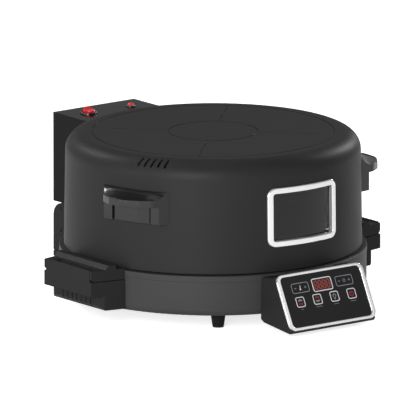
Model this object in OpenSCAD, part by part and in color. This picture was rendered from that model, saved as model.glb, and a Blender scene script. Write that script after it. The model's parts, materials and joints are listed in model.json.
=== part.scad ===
// Countertop pizza maker: a round hinged lid over a base with a turning stone.
// Millimetres. +Z is up, the front with the window and the control panel faces -Y,
// and the origin is on the drum's axis, on the plane that the feet stand on.

/* [Lid] */
// Outer radius of the lid at its lower rim
lid_r = 190; // [184:0.5:196]
// Height of the lid from its lower rim to its top
lid_h = 144.1; // [130:0.1:160]
// Draft of the lid's side in degrees
lid_draft = 0.84; // [0.3:0.01:2]
// Radius of the rolled shoulder between the side and the top
shoulder_r = 23; // [16:0.5:30]
// Sheet thickness of the lid
lid_wall = 2; // [1.2:0.1:3]
// Gap between the lid's rim and the base ring
lid_gap = 1.7; // [1:0.1:4]
// Distance of the top's outer groove in from the rim radius
groove_inset = 36; // [30:1:50]
// Radius of the inner groove on the top
hub_groove_r = 57; // [30:1:80]
// Width of the grooves on the top
groove_w = 2; // [1:0.1:4]
// Depth of the grooves on the top
groove_d = 0.7; // [0.3:0.1:1.2]
// Slots in each vent on the shoulder
vent_n = 5; // [3:1:7]
// Width of one vent slot
vent_w = 3; // [2:0.1:4]
// Length of one vent slot
vent_l = 13; // [8:0.5:16]
// Slant of a vent slot from the radial direction in degrees
vent_slant = 18; // [0:1:35]

/* [Inner lid] */
// Space between the lid's rim radius and the reflector
liner_space = 12; // [11:0.5:16]
// Space between the reflector's roof and the lid's top
roof_space = 20; // [17:0.5:26]
// Radius between the reflector's wall and its roof
liner_fillet = 15; // [10:0.5:20]
// Sheet thickness of the reflectors
liner_wall = 1; // [0.8:0.1:1.5]

/* [Window] */
// Width of the window opening
window_w = 93.6; // [70:0.2:100]
// Height of the window opening
window_h = 61; // [45:0.1:66]
// Height of the window's centre above the lid's rim
window_rise = 69.4; // [65:0.2:73]
// Width of the polished bezel
bezel_w = 7.5; // [6:0.1:11]
// Radius of the opening's corners
window_corner_r = 3; // [1:0.5:6]
// How far the bezel stands out of the lid
bezel_proud = 2.8; // [1.5:0.1:4]
// Thickness of the window glass
glass_t = 3; // [2:0.1:4]

/* [Lid handles] */
// Angle of each handle from the front in degrees
handle_angle = 69.7; // [55:0.1:80]
// Width of a handle between its tips
handle_w = 75.6; // [60:0.2:86]
// Flare of the handle's ends towards the lid in degrees
handle_flare = 27.3; // [10:0.1:35]
// How far the handle's tips stand out of the lid's rim radius
tip_reach = 11.7; // [9:0.1:16]
// How far the middle of the handle's lip stands out of the lid's rim radius
lip_reach = 28; // [22:0.1:32]
// Height of the lip's faceted rim
lip_h = 9.8; // [7:0.1:13]
// Rise of the lip's top from the rim to the lid
lip_rise = 7.6; // [4:0.1:10]
// How far the handle's foot stands out of the lid's rim radius
stem_reach = 5.5; // [4.5:0.1:8]
// Height of the handle's foot below the lip
stem_h = 23.5; // [18:0.1:28]
// Depth of the handle's top below the lid's top
handle_drop = 40.7; // [36:0.1:47]

/* [Base] */
// Height of the feet
foot_h = 19.2; // [15:0.1:26]
// Radius of a foot at its top
foot_r = 10; // [8:0.5:12]
// Radius of a foot at its bottom
foot_tip_r = 7.4; // [5:0.1:8]
// Distance of the feet in from the pan's wall
foot_inset = 29.7; // [23:0.1:33]
// Angle of the feet from the front and from the back in degrees
foot_angle = 35.6; // [30:0.5:42]
// How far the pan's wall stands out of the lid's rim
base_step = 5.4; // [4:0.1:8]
// Height of the base pan
pan_h = 44.2; // [40:0.2:50]
// Radius between the pan's wall and its floor
pan_fillet = 8; // [5:0.5:12]
// Wall thickness of the pan
pan_wall = 2.2; // [1.6:0.1:3]
// Height of the ring on the pan
ring_h = 7.7; // [6:0.1:11]
// How far the ring stands out of the pan's wall
ring_proud = 0.5; // [0.2:0.1:2]
// Width of the pan's floor round its opening
floor_rim = 49.4; // [45:0.2:65]

/* [Stone and drive] */
// Gap between the stone's edge and the dish's rim
stone_gap = 23.5; // [18:0.5:36]
// Thickness of the stone
stone_t = 12; // [9:0.5:14]
// Height of the stone's top above the base ring
stone_rise = 7.2; // [5:0.1:9]
// Radius of the drive shaft
shaft_r = 4; // [3:0.1:5]
// Radius of the gear motor
motor_r = 25; // [20:0.5:30]
// Height of the gear motor
motor_h = 19; // [14:0.5:20]

/* [Heating elements] */
// Radius of the sheathed tube
tube_r = 3.2; // [2.5:0.1:4]
// Bend radius of the upper element's ring
upper_loop_r = 118; // [90:1:135]
// Bend radius of the lower element's ring
lower_loop_r = 105; // [85:1:125]
// Distance from the axis plane to each straight leg
leg_x = 18; // [14:0.5:24]

/* [Side grips] */
// How far a grip stands out of the pan's wall
grip_reach = 37.6; // [31:0.1:44]
// Width of a grip at its outer face
grip_w = 97.8; // [80:0.2:110]
// Flare of a grip's ends towards the drum in degrees
grip_flare = 12.5; // [5:0.5:18]
// Height of a grip's top edge above the base ring
grip_rise = 3.8; // [2:0.1:6]
// Depth of the overhang that the fingers go under
finger_depth = 14.5; // [10:0.5:18]
// Height of the overhang's underside above the pan's floor
finger_rise = 21.8; // [17:0.2:26]
// Height of a grip's lowest face above the pan's floor
grip_lift = 2.8; // [1:0.2:7]
// Slots in a grip's lower face
grip_slots = 7; // [3:1:7]
// Spacing of those slots
grip_slot_pitch = 9.5; // [8:0.1:11]

/* [Control panel] */
// Width of the panel over its bezel
panel_w = 138.8; // [120:0.2:150]
// Height of the panel along its slope
panel_h = 73.8; // [68:0.2:84]
// Backward lean of the panel in degrees
panel_lean = 26.6; // [15:0.2:40]
// How far the panel's lower edge stands out of the pan's wall
panel_reach = 52.5; // [45:0.1:60]
// Depth of the panel's lower edge below the pan's floor
panel_drop = 10; // [6:0.1:13]
// Width of the panel's bezel at its sides
panel_bezel_w = 5.9; // [4:0.1:10]
// Width of the panel's bezel at its top and bottom
panel_bezel_h = 3.7; // [3:0.1:8]
// Radius of the panel's outer corners
panel_corner_r = 9; // [5:0.5:12]
// How far the panel's bezel stands out
panel_proud = 2.9; // [2:0.1:4]
// Width of the display opening
display_w = 28.8; // [24:0.2:31]
// Height of the display opening
display_h = 14.8; // [10:0.2:16]
// Height of the display's centre above the panel's middle
display_rise = 17; // [14:0.5:19]
// Side of a square touch key
key_s = 13.6; // [11:0.1:16]
// Spacing of the square touch keys
key_pitch = 27.3; // [22:0.1:29]
// Depth of the square keys' row below the panel's middle
key_drop = 1.2; // [-1:0.1:8]
// Width of the two touch keys beside the display
wide_key_w = 27.2; // [22:0.2:29]
// Height of the two touch keys beside the display
wide_key_h = 13.2; // [9:0.2:14]

/* [Rear housing and hinge] */
// Width of the rear housings
rear_w = 130.6; // [110:0.2:140]
// How far the rear face stands out of the pan's wall
rear_reach = 54.6; // [52:0.1:60]
// Depth of the rear box's top below the lid's top
box_drop = 9.5; // [7:0.1:17]
// How far the hinge pin lies behind the pan's wall
hinge_reach = 36.6; // [35.6:0.1:38.6]
// Depth of the hinge pin below the base ring's top
hinge_drop = 1.6; // [0.3:0.1:3.3]
// Radius of the hinge pin
pin_r = 3; // [2.5:0.1:4]
// Distance from the middle to each hinge arm
arm_x = 36; // [24:0.5:46]
// Thickness of a hinge arm
arm_t = 4; // [3:0.2:5]
// Wall thickness of the moulded housings
shell_t = 2.5; // [2:0.1:3]

/* [Switch and lamp] */
// Distance from the middle to the switch and to the lamp
switch_x = 34; // [26:0.5:44]
// Distance of the switch and the lamp in from the rear face
switch_inset = 34; // [28:0.5:38]
// Radius of the switch's bezel
switch_r = 11; // [9.5:0.1:12]
// Tilt of the rocker either way in degrees
rocker_tilt = 12; // [6:1:14]
// Radius of the lamp's bezel
lamp_r = 6.5; // [5:0.1:8]

/* [Fits] */
// Radial clearance of a shaft or pin that turns
run_fit = 0.05; // [0.02:0.01:0.1]
// Gap between curved pieces that sit in each other
seat_gap = 0.3; // [0.2:0.05:0.4]
// Radius of the case screws
screw_r = 2; // [1.5:0.1:2.4]

/* [Hidden] */
$fn = 96;
eps = 0.01;
base_r = lid_r + base_step;
pan_top = foot_h + pan_h;
seam = 0.2;
ring_r = base_r + ring_proud;
ring_z = pan_top + seam;
ring_top = ring_z + ring_h;
rim_z = ring_top + lid_gap;
lid_top = rim_z + lid_h;
top_groove_r = lid_r - groove_inset;
hem_w = 5;
hem_t = 1;
liner_r = lid_r - liner_space;
liner_z = rim_z + hem_t;
liner_top = lid_top - roof_space;
liner_draft = 1.5;
flange_t = 2;
dish_floor = 25;
dish_z = ring_top - flange_t - dish_floor;
dish_rim_z = ring_top - flange_t - liner_wall;
dish_top_r = base_r - 19.4;
dish_floor_r = dish_top_r - 28;
floor_hole_r = base_r - floor_rim;
lip_ledge = 0.5;
stone_r = dish_top_r - stone_gap;
stone_top = ring_top + stone_rise;
stone_z = stone_top - stone_t;
carrier_r = 60;
carrier_t = 3;
hub_r = 40;
hub_rise = 4;
collar_r = 12;
collar_h = 9;
bush_r = 8;
motor_top = dish_z;
bracket_t = 1;
upper_loop_z = liner_top - 13;
upper_leg_end = lid_r + 18;
lower_loop_z = dish_z + liner_wall + 9;
lower_leg_end = base_r - 11.4;
bend_r = 12;
window_grip = 3.2;
glass_depth = 4;
window_turn = 2.4;
window_z = rim_z + window_rise;
handle_top = lid_top - handle_drop;
lip_z = handle_top - lip_rise - lip_h;
handle_z = lip_z - stem_h;
handle_root = -15;
lip_bow = lip_reach - tip_reach;
lip_r = (pow(handle_w / 2, 2) + pow(lip_bow, 2)) / (2 * lip_bow);
lip_facets = [-1, -0.9, -0.56, -0.1, 0.1, 0.56, 0.9, 1];
handle_screw_x = 15;
handle_screw_z = lip_z + lip_h / 2;
head_r = 4;
head_h = 3;
head_seat = 8.4;
pan_screw_z = foot_h + 14;
panel_screw_z = foot_h + 21;
wall_screw_x = 30;
cover_screw_r = 1.5;
pad_h = 1.5;
pan_screw_l = 18.4;
root_depth = 40;
root_r = base_r - root_depth;
foot_circle_r = base_r - foot_inset;
hinge_y = base_r + hinge_reach;
hinge_z = ring_top - hinge_drop;
rear_y = base_r + rear_reach;
box_z = hinge_z + 21.7;
box_top = lid_top - box_drop;
switch_y = rear_y - switch_inset;
panel_y = base_r + panel_reach;
panel_z = foot_h - panel_drop;
panel_open_w = panel_w - 2 * panel_bezel_w;
panel_open_h = panel_h - 2 * panel_bezel_h;
panel_open_r = 4;
pocket_depth = 14;
board_depth = 8;
arm_eye_r = 9;
plate_y = lid_r + 7;
plate_t = 3;
plate_top = upper_loop_z - 12.1;
plate_screw_x = 20;
plate_screw_z = [box_z + 20, plate_top - 40];
rear_base_h = 28.8;
rear_base_top = foot_h + rear_base_h;
oven_lamp_z = window_z + 7.6;
oven_lamp_r = 17;
oven_lamp_y = liner_r + 1.6;
side_screw_r = 2.4;
side_screw_dz = 14;
inlet_z = foot_h + 16;
inlet_screw_x = 20;
inlet_flange_w = 49;
inlet_flange_h = 24;
inlet_flange_r = 4;
inlet_y = rear_y - 3.4;
inlet_pocket_d = 28;
switch_bore = switch_r - 2.2;
pivot_depth = 1;
pin_hold = 0.5;
rocker_pin_r = 1.2;
grip_x = base_r + grip_reach;
grip_top = ring_top + grip_rise;
finger_z = foot_h + finger_rise;
grip_bottom = foot_h + grip_lift;
cover_skirt_h = 15.6;
grip_cover_z = grip_top - cover_skirt_h;
grip_wall = 3.5;
grip_post_gap = 12;
grip_post_x = ring_r + grip_post_gap;
grip_post_y = 34;
vent_pitch = 2.85;
vent_angles = [-138, -62.5, 62.5, 138];

// ---- shared forms -------------------------------------------------------------------

// Half outline of a drafted drum with a rolled shoulder, moved inwards by off
module drum_2d(r, z0, z1, fillet, draft, off = 0, drop = 0) {
    f = fillet - off;
    cz = z1 - fillet;
    cx = r - (cz + fillet * sin(draft) - z0) * tan(draft) - fillet * cos(draft);
    tx = cx + f * cos(draft);
    tz = cz + f * sin(draft);
    polygon([[0, z0 - drop], [tx + (tz - z0 + drop) * tan(draft), z0 - drop], [tx, tz],
             [cx, cz], [cx, z1 - off], [0, z1 - off]]);
    translate([cx, cz]) circle(r = f);
}

// The lid's outside as a solid, moved inwards by off, outwards when off is below 0
module lid_form(off, drop = 0) {
    rotate_extrude() drum_2d(lid_r, rim_z, lid_top, shoulder_r, lid_draft, off, drop);
}

// The reflector's outside as a solid, moved inwards by off
module liner_form(off, drop = 0) {
    rotate_extrude() drum_2d(liner_r, liner_z, liner_top, liner_fillet, liner_draft, off, drop);
}

// The space between two depths below the lid's surface
module lid_layer(d0, d1) {
    difference() {
        lid_form(d0, 5);
        lid_form(d1, 10);
    }
}

// The base's outside as a solid, grown by gap
module base_form(gap) {
    rotate_extrude() {
        translate([base_r - pan_fillet, foot_h + pan_fillet]) circle(r = pan_fillet + gap);
        polygon([[0, foot_h - gap], [base_r - pan_fillet, foot_h - gap],
                 [base_r - pan_fillet, foot_h + pan_fillet],
                 [base_r + gap, foot_h + pan_fillet], [base_r + gap, pan_top - gap],
                 [ring_r + gap, pan_top - gap], [ring_r + gap, ring_top + gap],
                 [0, ring_top + gap]]);
    }
}

// Rectangle with round corners, centred
module round_rect(w, h, r) {
    square([w - 2 * r, h], center = true);
    square([w, h - 2 * r], center = true);
    for (x = [-1, 1], y = [-1, 1])
        translate([x * (w / 2 - r), y * (h / 2 - r)]) circle(r = r);
}

// Frame of the given width round an opening with round corners
module frame_2d(w, h, r, band) {
    difference() {
        round_rect(w + 2 * band, h + 2 * band, r + band);
        round_rect(w, h, r);
    }
}

// Turns what is built at the front to an angle from the front
module at(angle) {
    rotate([0, 0, angle]) children();
}

// Extrudes an outline, drawn as seen from the front, between two distances from the axis
module forward(d0, d1, z) {
    translate([0, -d0, z]) rotate([90, 0, 0]) linear_extrude(d1 - d0) children();
}

// The same towards the back
module backward(d0, d1, z) {
    translate([0, d1, z]) rotate([90, 0, 0]) linear_extrude(d1 - d0) children();
}

// Screw along -Y with its head nearest the axis
module radial_screw(d0, d1, x, z, r) {
    translate([x, 0, z]) {
        forward(d0, d0 + head_h, 0) circle(r = head_r);
        forward(d0 + head_h, d1, 0) circle(r = r);
    }
}

// Mirrors a piece of the right side to the left
module left() {
    mirror([1, 0, 0]) children();
}

// ---- lid ----------------------------------------------------------------------------

module top_grooves() {
    for (r = [top_groove_r, hub_groove_r])
        translate([0, 0, lid_top - groove_d]) difference() {
            cylinder(h = groove_d + 1, r = r + groove_w / 2);
            translate([0, 0, -1]) cylinder(h = groove_d + 3, r = r - groove_w / 2);
        }
    for (a = [45 : 90 : 315])
        rotate([0, 0, a])
            translate([hub_groove_r, -groove_w / 4, lid_top - groove_d])
                cube([top_groove_r - hub_groove_r, groove_w / 2, groove_d + 1]);
}

module shoulder_vents() {
    for (a = vent_angles, i = [0 : vent_n - 1])
        at(a + (i - (vent_n - 1) / 2) * vent_pitch)
            translate([0, -(lid_r - shoulder_r / 2), lid_top - shoulder_r])
                rotate([0, 0, a < 0 ? -vent_slant : vent_slant])
                    linear_extrude(shoulder_r + 1) {
                        square([vent_w, vent_l - vent_w], center = true);
                        for (e = [-1, 1])
                            translate([0, e * (vent_l - vent_w) / 2]) circle(d = vent_w);
                    }
}

module lid_shell() color("#2c2c2e") {
    difference() {
        union() {
            difference() {
                lid_form(0);
                lid_form(lid_wall, 5);
            }
            translate([0, 0, rim_z]) difference() {
                cylinder(h = hem_t, r = lid_r - lid_wall);
                translate([0, 0, -1]) cylinder(h = hem_t + 2, r = lid_r - lid_wall - hem_w);
            }
        }
        top_grooves();
        shoulder_vents();
        forward(lid_r - 20, lid_r + 20, window_z)
            round_rect(window_w + 2 * window_turn + seat_gap,
                       window_h + 2 * window_turn + seat_gap, window_corner_r + window_turn);
        for (s = [-1, 1], x = [-1, 1])
            at(s * handle_angle)
                translate([x * handle_screw_x, 0, 0])
                    forward(lid_r - 20, lid_r + 5, handle_screw_z) circle(r = screw_r + 0.3);
        backward(lid_r - 20, lid_r + 5, oven_lamp_z) circle(r = oven_lamp_r);
        for (x = [-1, 1]) {
            translate([x * leg_x, 0, 0])
                backward(lid_r - 25, lid_r + 5, upper_loop_z) circle(r = tube_r + 1);
            for (z = plate_screw_z)
                translate([x * plate_screw_x, 0, 0])
                    backward(lid_r - 20, lid_r + 5, z) circle(r = screw_r + 0.8);
        }
    }
}

module lid_liner() color("#b9babb") {
    difference() {
        union() {
            difference() {
                liner_form(0);
                liner_form(liner_wall, 5);
            }
            translate([0, 0, liner_z]) difference() {
                cylinder(h = liner_wall, r = lid_r - lid_wall - seat_gap);
                translate([0, 0, -1]) cylinder(h = liner_wall + 2, r = liner_r - liner_wall);
            }
        }
        forward(liner_r - 20, liner_r + 5, window_z)
            round_rect(window_w, window_h, window_corner_r);
        backward(liner_r - 20, liner_r + 5, oven_lamp_z) circle(r = oven_lamp_r - 2);
        for (x = [-1, 1])
            translate([x * leg_x, 0, 0])
                backward(liner_r - 30, liner_r + 5, upper_loop_z) circle(r = tube_r + 0.5);
    }
}

// Ring of sheathed tube whose ends bend into two straight legs towards the back
module heating_loop(loop_r, z, leg_end) {
    turn = asin((leg_x + bend_r) / (loop_r + bend_r));
    bend_y = (loop_r + bend_r) * cos(turn);
    crimp = 0.01;
    translate([0, 0, z]) {
        rotate([0, 0, 90 + turn + crimp])
            rotate_extrude(angle = 360 - 2 * turn - 2 * crimp)
                translate([loop_r, 0]) circle(r = tube_r);
        for (s = [0, 1]) mirror([s, 0, 0]) {
            translate([leg_x + bend_r, bend_y, 0]) rotate([0, 0, 180])
                rotate_extrude(angle = 90 - turn) translate([bend_r, 0]) circle(r = tube_r);
            translate([leg_x, bend_y, 0]) rotate([-90, 0, 0])
                cylinder(h = leg_end - bend_y, r = tube_r);
        }
    }
}

module upper_element() color("#54504c")
    heating_loop(upper_loop_r, upper_loop_z, upper_leg_end);

// Hanger under the reflector's roof with an eye round the tube
module upper_element_clips() color("#9a9a9a") {
    for (a = [0, 120, 240])
        at(a) translate([-6, -upper_loop_r - 5, upper_loop_z - 6])
            difference() {
                cube([12, 10, liner_top - liner_wall - upper_loop_z + 6]);
                translate([-1, 5, 6]) rotate([0, 90, 0]) cylinder(h = 14, r = tube_r + 0.5);
            }
}

// ---- window -------------------------------------------------------------------------

// The opening's frame between two depths below the lid's surface
module window_layer(d0, d1, grow, band) {
    intersection() {
        lid_layer(d0, d1);
        forward(lid_r - 40, lid_r + 20, window_z)
            frame_2d(window_w + 2 * grow, window_h + 2 * grow, window_corner_r + grow, band);
    }
}

module window_bezel() color("#e4e4e2") {
    window_layer(-bezel_proud / 2, -seat_gap / 2, 0, bezel_w);
    window_layer(-bezel_proud, -bezel_proud / 2, 1.2, bezel_w - 2.4);
    window_layer(-bezel_proud / 2, glass_depth - seat_gap, 0, window_turn);
}

module window_frame() color("#1c1c1d") {
    difference() {
        window_layer(lid_wall + seat_gap, glass_depth + glass_t + 4, 0, window_grip + 3);
        intersection() {
            lid_layer(0, glass_depth + glass_t + seat_gap);
            forward(lid_r - 40, lid_r + 20, window_z)
                round_rect(window_w + 2 * window_grip, window_h + 2 * window_grip,
                           window_corner_r + window_grip);
        }
    }
}

module window_glass() color("#3a342f") {
    intersection() {
        lid_layer(glass_depth, glass_depth + glass_t);
        forward(lid_r - 40, lid_r + 20, window_z)
            round_rect(window_w + 2 * window_grip - 2 * seat_gap,
                       window_h + 2 * window_grip - 2 * seat_gap,
                       window_corner_r + window_grip - seat_gap);
    }
}

// ---- handles ------------------------------------------------------------------------

// Half width of a handle at a distance beyond the lid's rim radius
function flank_x(reach) = handle_w / 2 + (tip_reach - reach) * tan(handle_flare);

// Plan of the lip: flared ends and a bow of flat facets between the tips
module lip_plan() {
    end = asin(handle_w / 2 / lip_r);
    root = [flank_x(handle_root), -lid_r - handle_root];
    polygon(concat([[-root.x, root.y]],
                   [for (k = lip_facets)
                       [lip_r * sin(k * end), lip_r - lid_r - lip_reach - lip_r * cos(k * end)]],
                   [root]));
}

// Plan of the foot: a faceted middle between two cheeks, with a groove beside each cheek
module stem_plan() {
    mid = 9;
    groove = 25.5;
    groove_w = 3;
    set_in = 0.3;
    half = [[mid, stem_reach], [groove, stem_reach - 1.8], [groove, stem_reach - 4],
            [groove + groove_w, stem_reach - 4], [groove + groove_w, stem_reach],
            [flank_x(stem_reach) - set_in, stem_reach],
            [flank_x(handle_root) - set_in, handle_root]];
    last = len(half) - 1;
    polygon(concat([for (i = [0 : last]) [half[i][0], -lid_r - half[i][1]]],
                   [for (i = [last : -1 : 0]) [-half[i][0], -lid_r - half[i][1]]]));
}

module handle() {
    top_w = 2 * flank_x(0) - 3;
    difference() {
        union() {
            // lip whose top rises from the faceted rim to a ledge at the lid
            hull() {
                translate([0, 0, lip_z]) linear_extrude(lip_h) lip_plan();
                translate([-top_w / 2, -lid_r, lip_z])
                    cube([top_w, -handle_root, handle_top - lip_z]);
            }
            translate([0, 0, handle_z]) linear_extrude(stem_h + 1) stem_plan();
        }
        lid_form(-seat_gap, 40);
        for (x = [-1, 1])
            translate([x * handle_screw_x, 0, 0])
                forward(lid_r - 20, lid_r + 12, handle_screw_z) circle(r = screw_r + run_fit);
    }
}

module handle_right() color("#1d1d1f") at(handle_angle) handle();
module handle_left() color("#1d1d1f") at(-handle_angle) handle();

module handle_screws() color("#8c8c8c") {
    for (s = [-1, 1], x = [-1, 1])
        at(s * handle_angle)
            radial_screw(lid_r - head_seat, lid_r + 11, x * handle_screw_x, handle_screw_z,
                         screw_r);
}

// ---- box and arms behind the lid ----------------------------------------------------

module hinge_box() color("#29292b") {
    inner_w = rear_w - 2 * shell_t;
    y0 = lid_r - 70;
    difference() {
        translate([-rear_w / 2, y0, box_z]) cube([rear_w, rear_y - y0, box_top - box_z]);
        lid_form(-seat_gap, 40);
        translate([-inner_w / 2, y0 - 1, box_z + shell_t])
            cube([inner_w, rear_y - shell_t - y0 + 1, box_top - box_z - 2 * shell_t]);
        for (s = [-1, 1])
            translate([s * arm_x - arm_t / 2 - 0.3, hinge_y - arm_eye_r - 0.5, box_z - 1])
                cube([arm_t + 0.6, 2 * arm_eye_r + 1, shell_t + 2]);
        translate([-switch_x, switch_y, box_top - shell_t - 1])
            cylinder(h = shell_t + 2, r = switch_r - 0.8);
        translate([switch_x, switch_y, box_top - shell_t - 1])
            cylinder(h = shell_t + 2, r = lamp_r - 1.2);
    }
}

module hinge_plate() color("#a0a2a4") {
    w = rear_w - 2 * shell_t - 0.4;
    difference() {
        translate([-w / 2, plate_y, box_z + shell_t])
            cube([w, plate_t, plate_top - box_z - shell_t]);
        backward(plate_y - 1, plate_y + plate_t + 1, oven_lamp_z) circle(r = oven_lamp_r + 1);
        for (x = [-1, 1], z = plate_screw_z)
            translate([x * plate_screw_x, 0, 0])
                backward(plate_y - 1, plate_y + plate_t + 1, z)
                    circle(r = screw_r + 0.5 + run_fit);
    }
}

// Arm from the eye on the pin, up through the box's floor, to the plate
module hinge_arm() {
    y0 = plate_y + plate_t;
    e = arm_eye_r;
    difference() {
        translate([-arm_t / 2, 0, 0]) rotate([90, 0, 90]) linear_extrude(arm_t) {
            polygon([[hinge_y - e, hinge_z], [hinge_y + e, hinge_z], [hinge_y + e, box_z + 28],
                     [y0 + 14, plate_top - 20], [y0, plate_top - 20], [y0, box_z + 9],
                     [hinge_y - e, box_z + 9]]);
            translate([hinge_y, hinge_z]) circle(r = e);
        }
        translate([-arm_t, hinge_y, hinge_z]) rotate([0, 90, 0])
            cylinder(h = 2 * arm_t, r = pin_r + run_fit);
    }
}

module hinge_arm_left() color("#a0a2a4") translate([-arm_x, 0, 0]) hinge_arm();
module hinge_arm_right() color("#a0a2a4") translate([arm_x, 0, 0]) hinge_arm();

module hinge_spacers() color("#8a8c8e") {
    for (x = [-1, 1], z = plate_screw_z)
        translate([x * plate_screw_x, 0, 0]) backward(lid_r - 0.8, plate_y, z) difference() {
            circle(r = 5);
            circle(r = screw_r + 0.8);
        }
}

module hinge_screws() color("#8c8c8c") {
    seat = lid_r - head_seat + head_h + 1;
    for (x = [-1, 1], z = plate_screw_z)
        translate([x * plate_screw_x, 0, 0]) {
            backward(seat - head_h, seat, z) circle(r = head_r);
            backward(seat - eps, plate_y + plate_t + 3, z) circle(r = screw_r + 0.5);
        }
}

// ---- switch and lamps ---------------------------------------------------------------

module switch_bezel() color("#c9c9c6") {
    translate([-switch_x, switch_y, box_top]) difference() {
        union() {
            rotate_extrude() {
                square([switch_r - 1, 2]);
                square([switch_r, 1]);
                translate([switch_r - 1, 1]) circle(r = 1);
            }
            translate([0, 0, -22]) cylinder(h = 22, r = switch_r - 0.8 - seat_gap);
        }
        translate([0, 0, -pivot_depth - switch_bore]) cylinder(h = 20, r = switch_bore);
        // seats of the rocker's pin
        translate([0, 0, -pivot_depth]) rotate([0, 90, 0])
            cylinder(h = 2 * (switch_bore + pin_hold + 0.2), r = rocker_pin_r + run_fit,
                     center = true);
    }
}

// Round rocker on a pin along X, drawn with its rear half up
module power_rocker() color("#d0202a") {
    swing_r = switch_bore - 0.25;
    plan_r = switch_bore - 0.8;
    crown = 7.4;
    translate([-switch_x, switch_y, box_top - pivot_depth]) rotate([rocker_tilt, 0, 0]) {
        intersection() {
            sphere(r = swing_r);
            translate([0, 0, -3]) cylinder(h = 12, r = plan_r);
            // two faces that meet in a shallow valley over the pin
            translate([-plan_r, 0, 0]) rotate([90, 0, 90]) linear_extrude(2 * plan_r)
                polygon([[-swing_r, -3], [swing_r, -3], [swing_r, crown], [0, crown - 1.6],
                         [-swing_r, crown]]);
        }
        rotate([0, 90, 0])
            cylinder(h = 2 * (switch_bore + pin_hold), r = rocker_pin_r, center = true);
    }
}

module pilot_bezel() color("#c9c9c6") {
    translate([switch_x, switch_y, box_top]) difference() {
        union() {
            rotate_extrude() {
                square([lamp_r - 0.8, 1.6]);
                square([lamp_r, 0.8]);
                translate([lamp_r - 0.8, 0.8]) circle(r = 0.8);
            }
            translate([0, 0, -14]) cylinder(h = 14, r = lamp_r - 1.2 - seat_gap);
        }
        translate([0, 0, -3]) cylinder(h = 10, r = lamp_r - 2.1);
    }
}

module pilot_lens() color("#e02430") {
    r = lamp_r - 2.2;
    translate([switch_x, switch_y, box_top]) {
        translate([0, 0, -3]) cylinder(h = 3.6, r = r);
        translate([0, 0, 0.6]) intersection() {
            sphere(r = r);
            translate([-r, -r, 0]) cube([2 * r, 2 * r, r]);
        }
    }
}

module oven_lamp_lens() color("#d8d8d0") {
    backward(oven_lamp_y - 3, oven_lamp_y, oven_lamp_z) circle(r = oven_lamp_r - 0.8);
}

module oven_lamp_holder() color("#e6e2d8") {
    difference() {
        backward(oven_lamp_y, oven_lamp_y + 34, oven_lamp_z) circle(r = oven_lamp_r - 2);
        backward(oven_lamp_y - 1, oven_lamp_y + 26, oven_lamp_z) circle(r = oven_lamp_r - 4);
    }
}

module oven_lamp_bulb() color("#f4ecd0") {
    translate([0, oven_lamp_y, oven_lamp_z]) {
        translate([0, 9, 0]) sphere(r = 7);
        rotate([-90, 0, 0]) translate([0, 0, 12]) cylinder(h = 14, r = 4.5);
    }
}

// ---- stone and drive ----------------------------------------------------------------

module pizza_stone() color("#c9b494") {
    edge_r = 3;
    difference() {
        translate([0, 0, stone_z]) rotate_extrude() {
            square([stone_r, stone_t - edge_r]);
            square([stone_r - edge_r, stone_t]);
            translate([stone_r - edge_r, stone_t - edge_r]) circle(r = edge_r);
        }
        translate([0, 0, stone_z - 1]) cylinder(h = hub_rise + 1.5, r = hub_r + 0.5);
    }
}

module stone_carrier() color("#9a9c9e") {
    difference() {
        union() {
            translate([0, 0, stone_z - carrier_t]) cylinder(h = carrier_t, r = carrier_r);
            translate([0, 0, stone_z]) cylinder(h = hub_rise, r = hub_r);
            translate([0, 0, stone_z - carrier_t - collar_h]) cylinder(h = collar_h, r = collar_r);
        }
        translate([0, 0, stone_z - carrier_t - collar_h - 1])
            cylinder(h = collar_h + 1, r = shaft_r + run_fit);
        for (a = [0 : 60 : 300])
            rotate([0, 0, a]) translate([carrier_r - 10, 0, stone_z - carrier_t - 1])
                cylinder(h = carrier_t + 2, r = 5);
    }
}

module drive_shaft() color("#8f9194") {
    z0 = motor_top - bracket_t - 12;
    translate([0, 0, z0]) cylinder(h = stone_z - carrier_t - z0, r = shaft_r);
}

module shaft_bush() color("#b58a3c") {
    translate([0, 0, dish_z - liner_wall]) difference() {
        union() {
            cylinder(h = 2 * liner_wall + 2, r = bush_r - 0.2);
            translate([0, 0, 2 * liner_wall]) cylinder(h = 2, r = bush_r + 2);
        }
        translate([0, 0, -1]) cylinder(h = 20, r = shaft_r + run_fit);
    }
}

module drive_motor() color("#b4b6b8") {
    top = motor_top - bracket_t;
    difference() {
        union() {
            translate([0, 0, top - motor_h]) cylinder(h = motor_h, r = motor_r);
            for (s = [-1, 1])
                translate([s * (motor_r + 4), 0, top - 1]) cylinder(h = 1, r = 6);
            translate([-motor_r - 4, -6, top - 1]) cube([2 * motor_r + 8, 12, 1]);
        }
        translate([0, 0, top - 14]) cylinder(h = 15, r = shaft_r + run_fit);
        for (s = [-1, 1])
            translate([s * (motor_r + 4), 0, top - 2]) cylinder(h = 3, r = screw_r);
    }
}

module motor_bracket() color("#9ea0a2") {
    translate([0, 0, motor_top - bracket_t]) linear_extrude(bracket_t) difference() {
        round_rect(2 * motor_r + 40, 30, 6);
        circle(r = bush_r + 1);
        for (s = [-1, 1]) translate([s * (motor_r + 4), 0]) circle(r = screw_r);
    }
}

// ---- base ---------------------------------------------------------------------------

module foot_places() {
    for (a = [foot_angle, -foot_angle, 180 - foot_angle, 180 + foot_angle])
        at(a) translate([0, -foot_circle_r, 0]) children();
}

// The eight screws through the pan's wall: panel, rear base and both grips
module pan_screw_places() {
    for (x = [-wall_screw_x, wall_screw_x]) {
        translate([x, 0, panel_screw_z]) children();
        for (a = [-90, 90, 180]) at(a) translate([x, 0, pan_screw_z]) children();
    }
}

module cover_screw_places() {
    for (a = [30 : 60 : 330]) at(a) translate([0, -floor_hole_r - 3, 0]) children();
}

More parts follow.
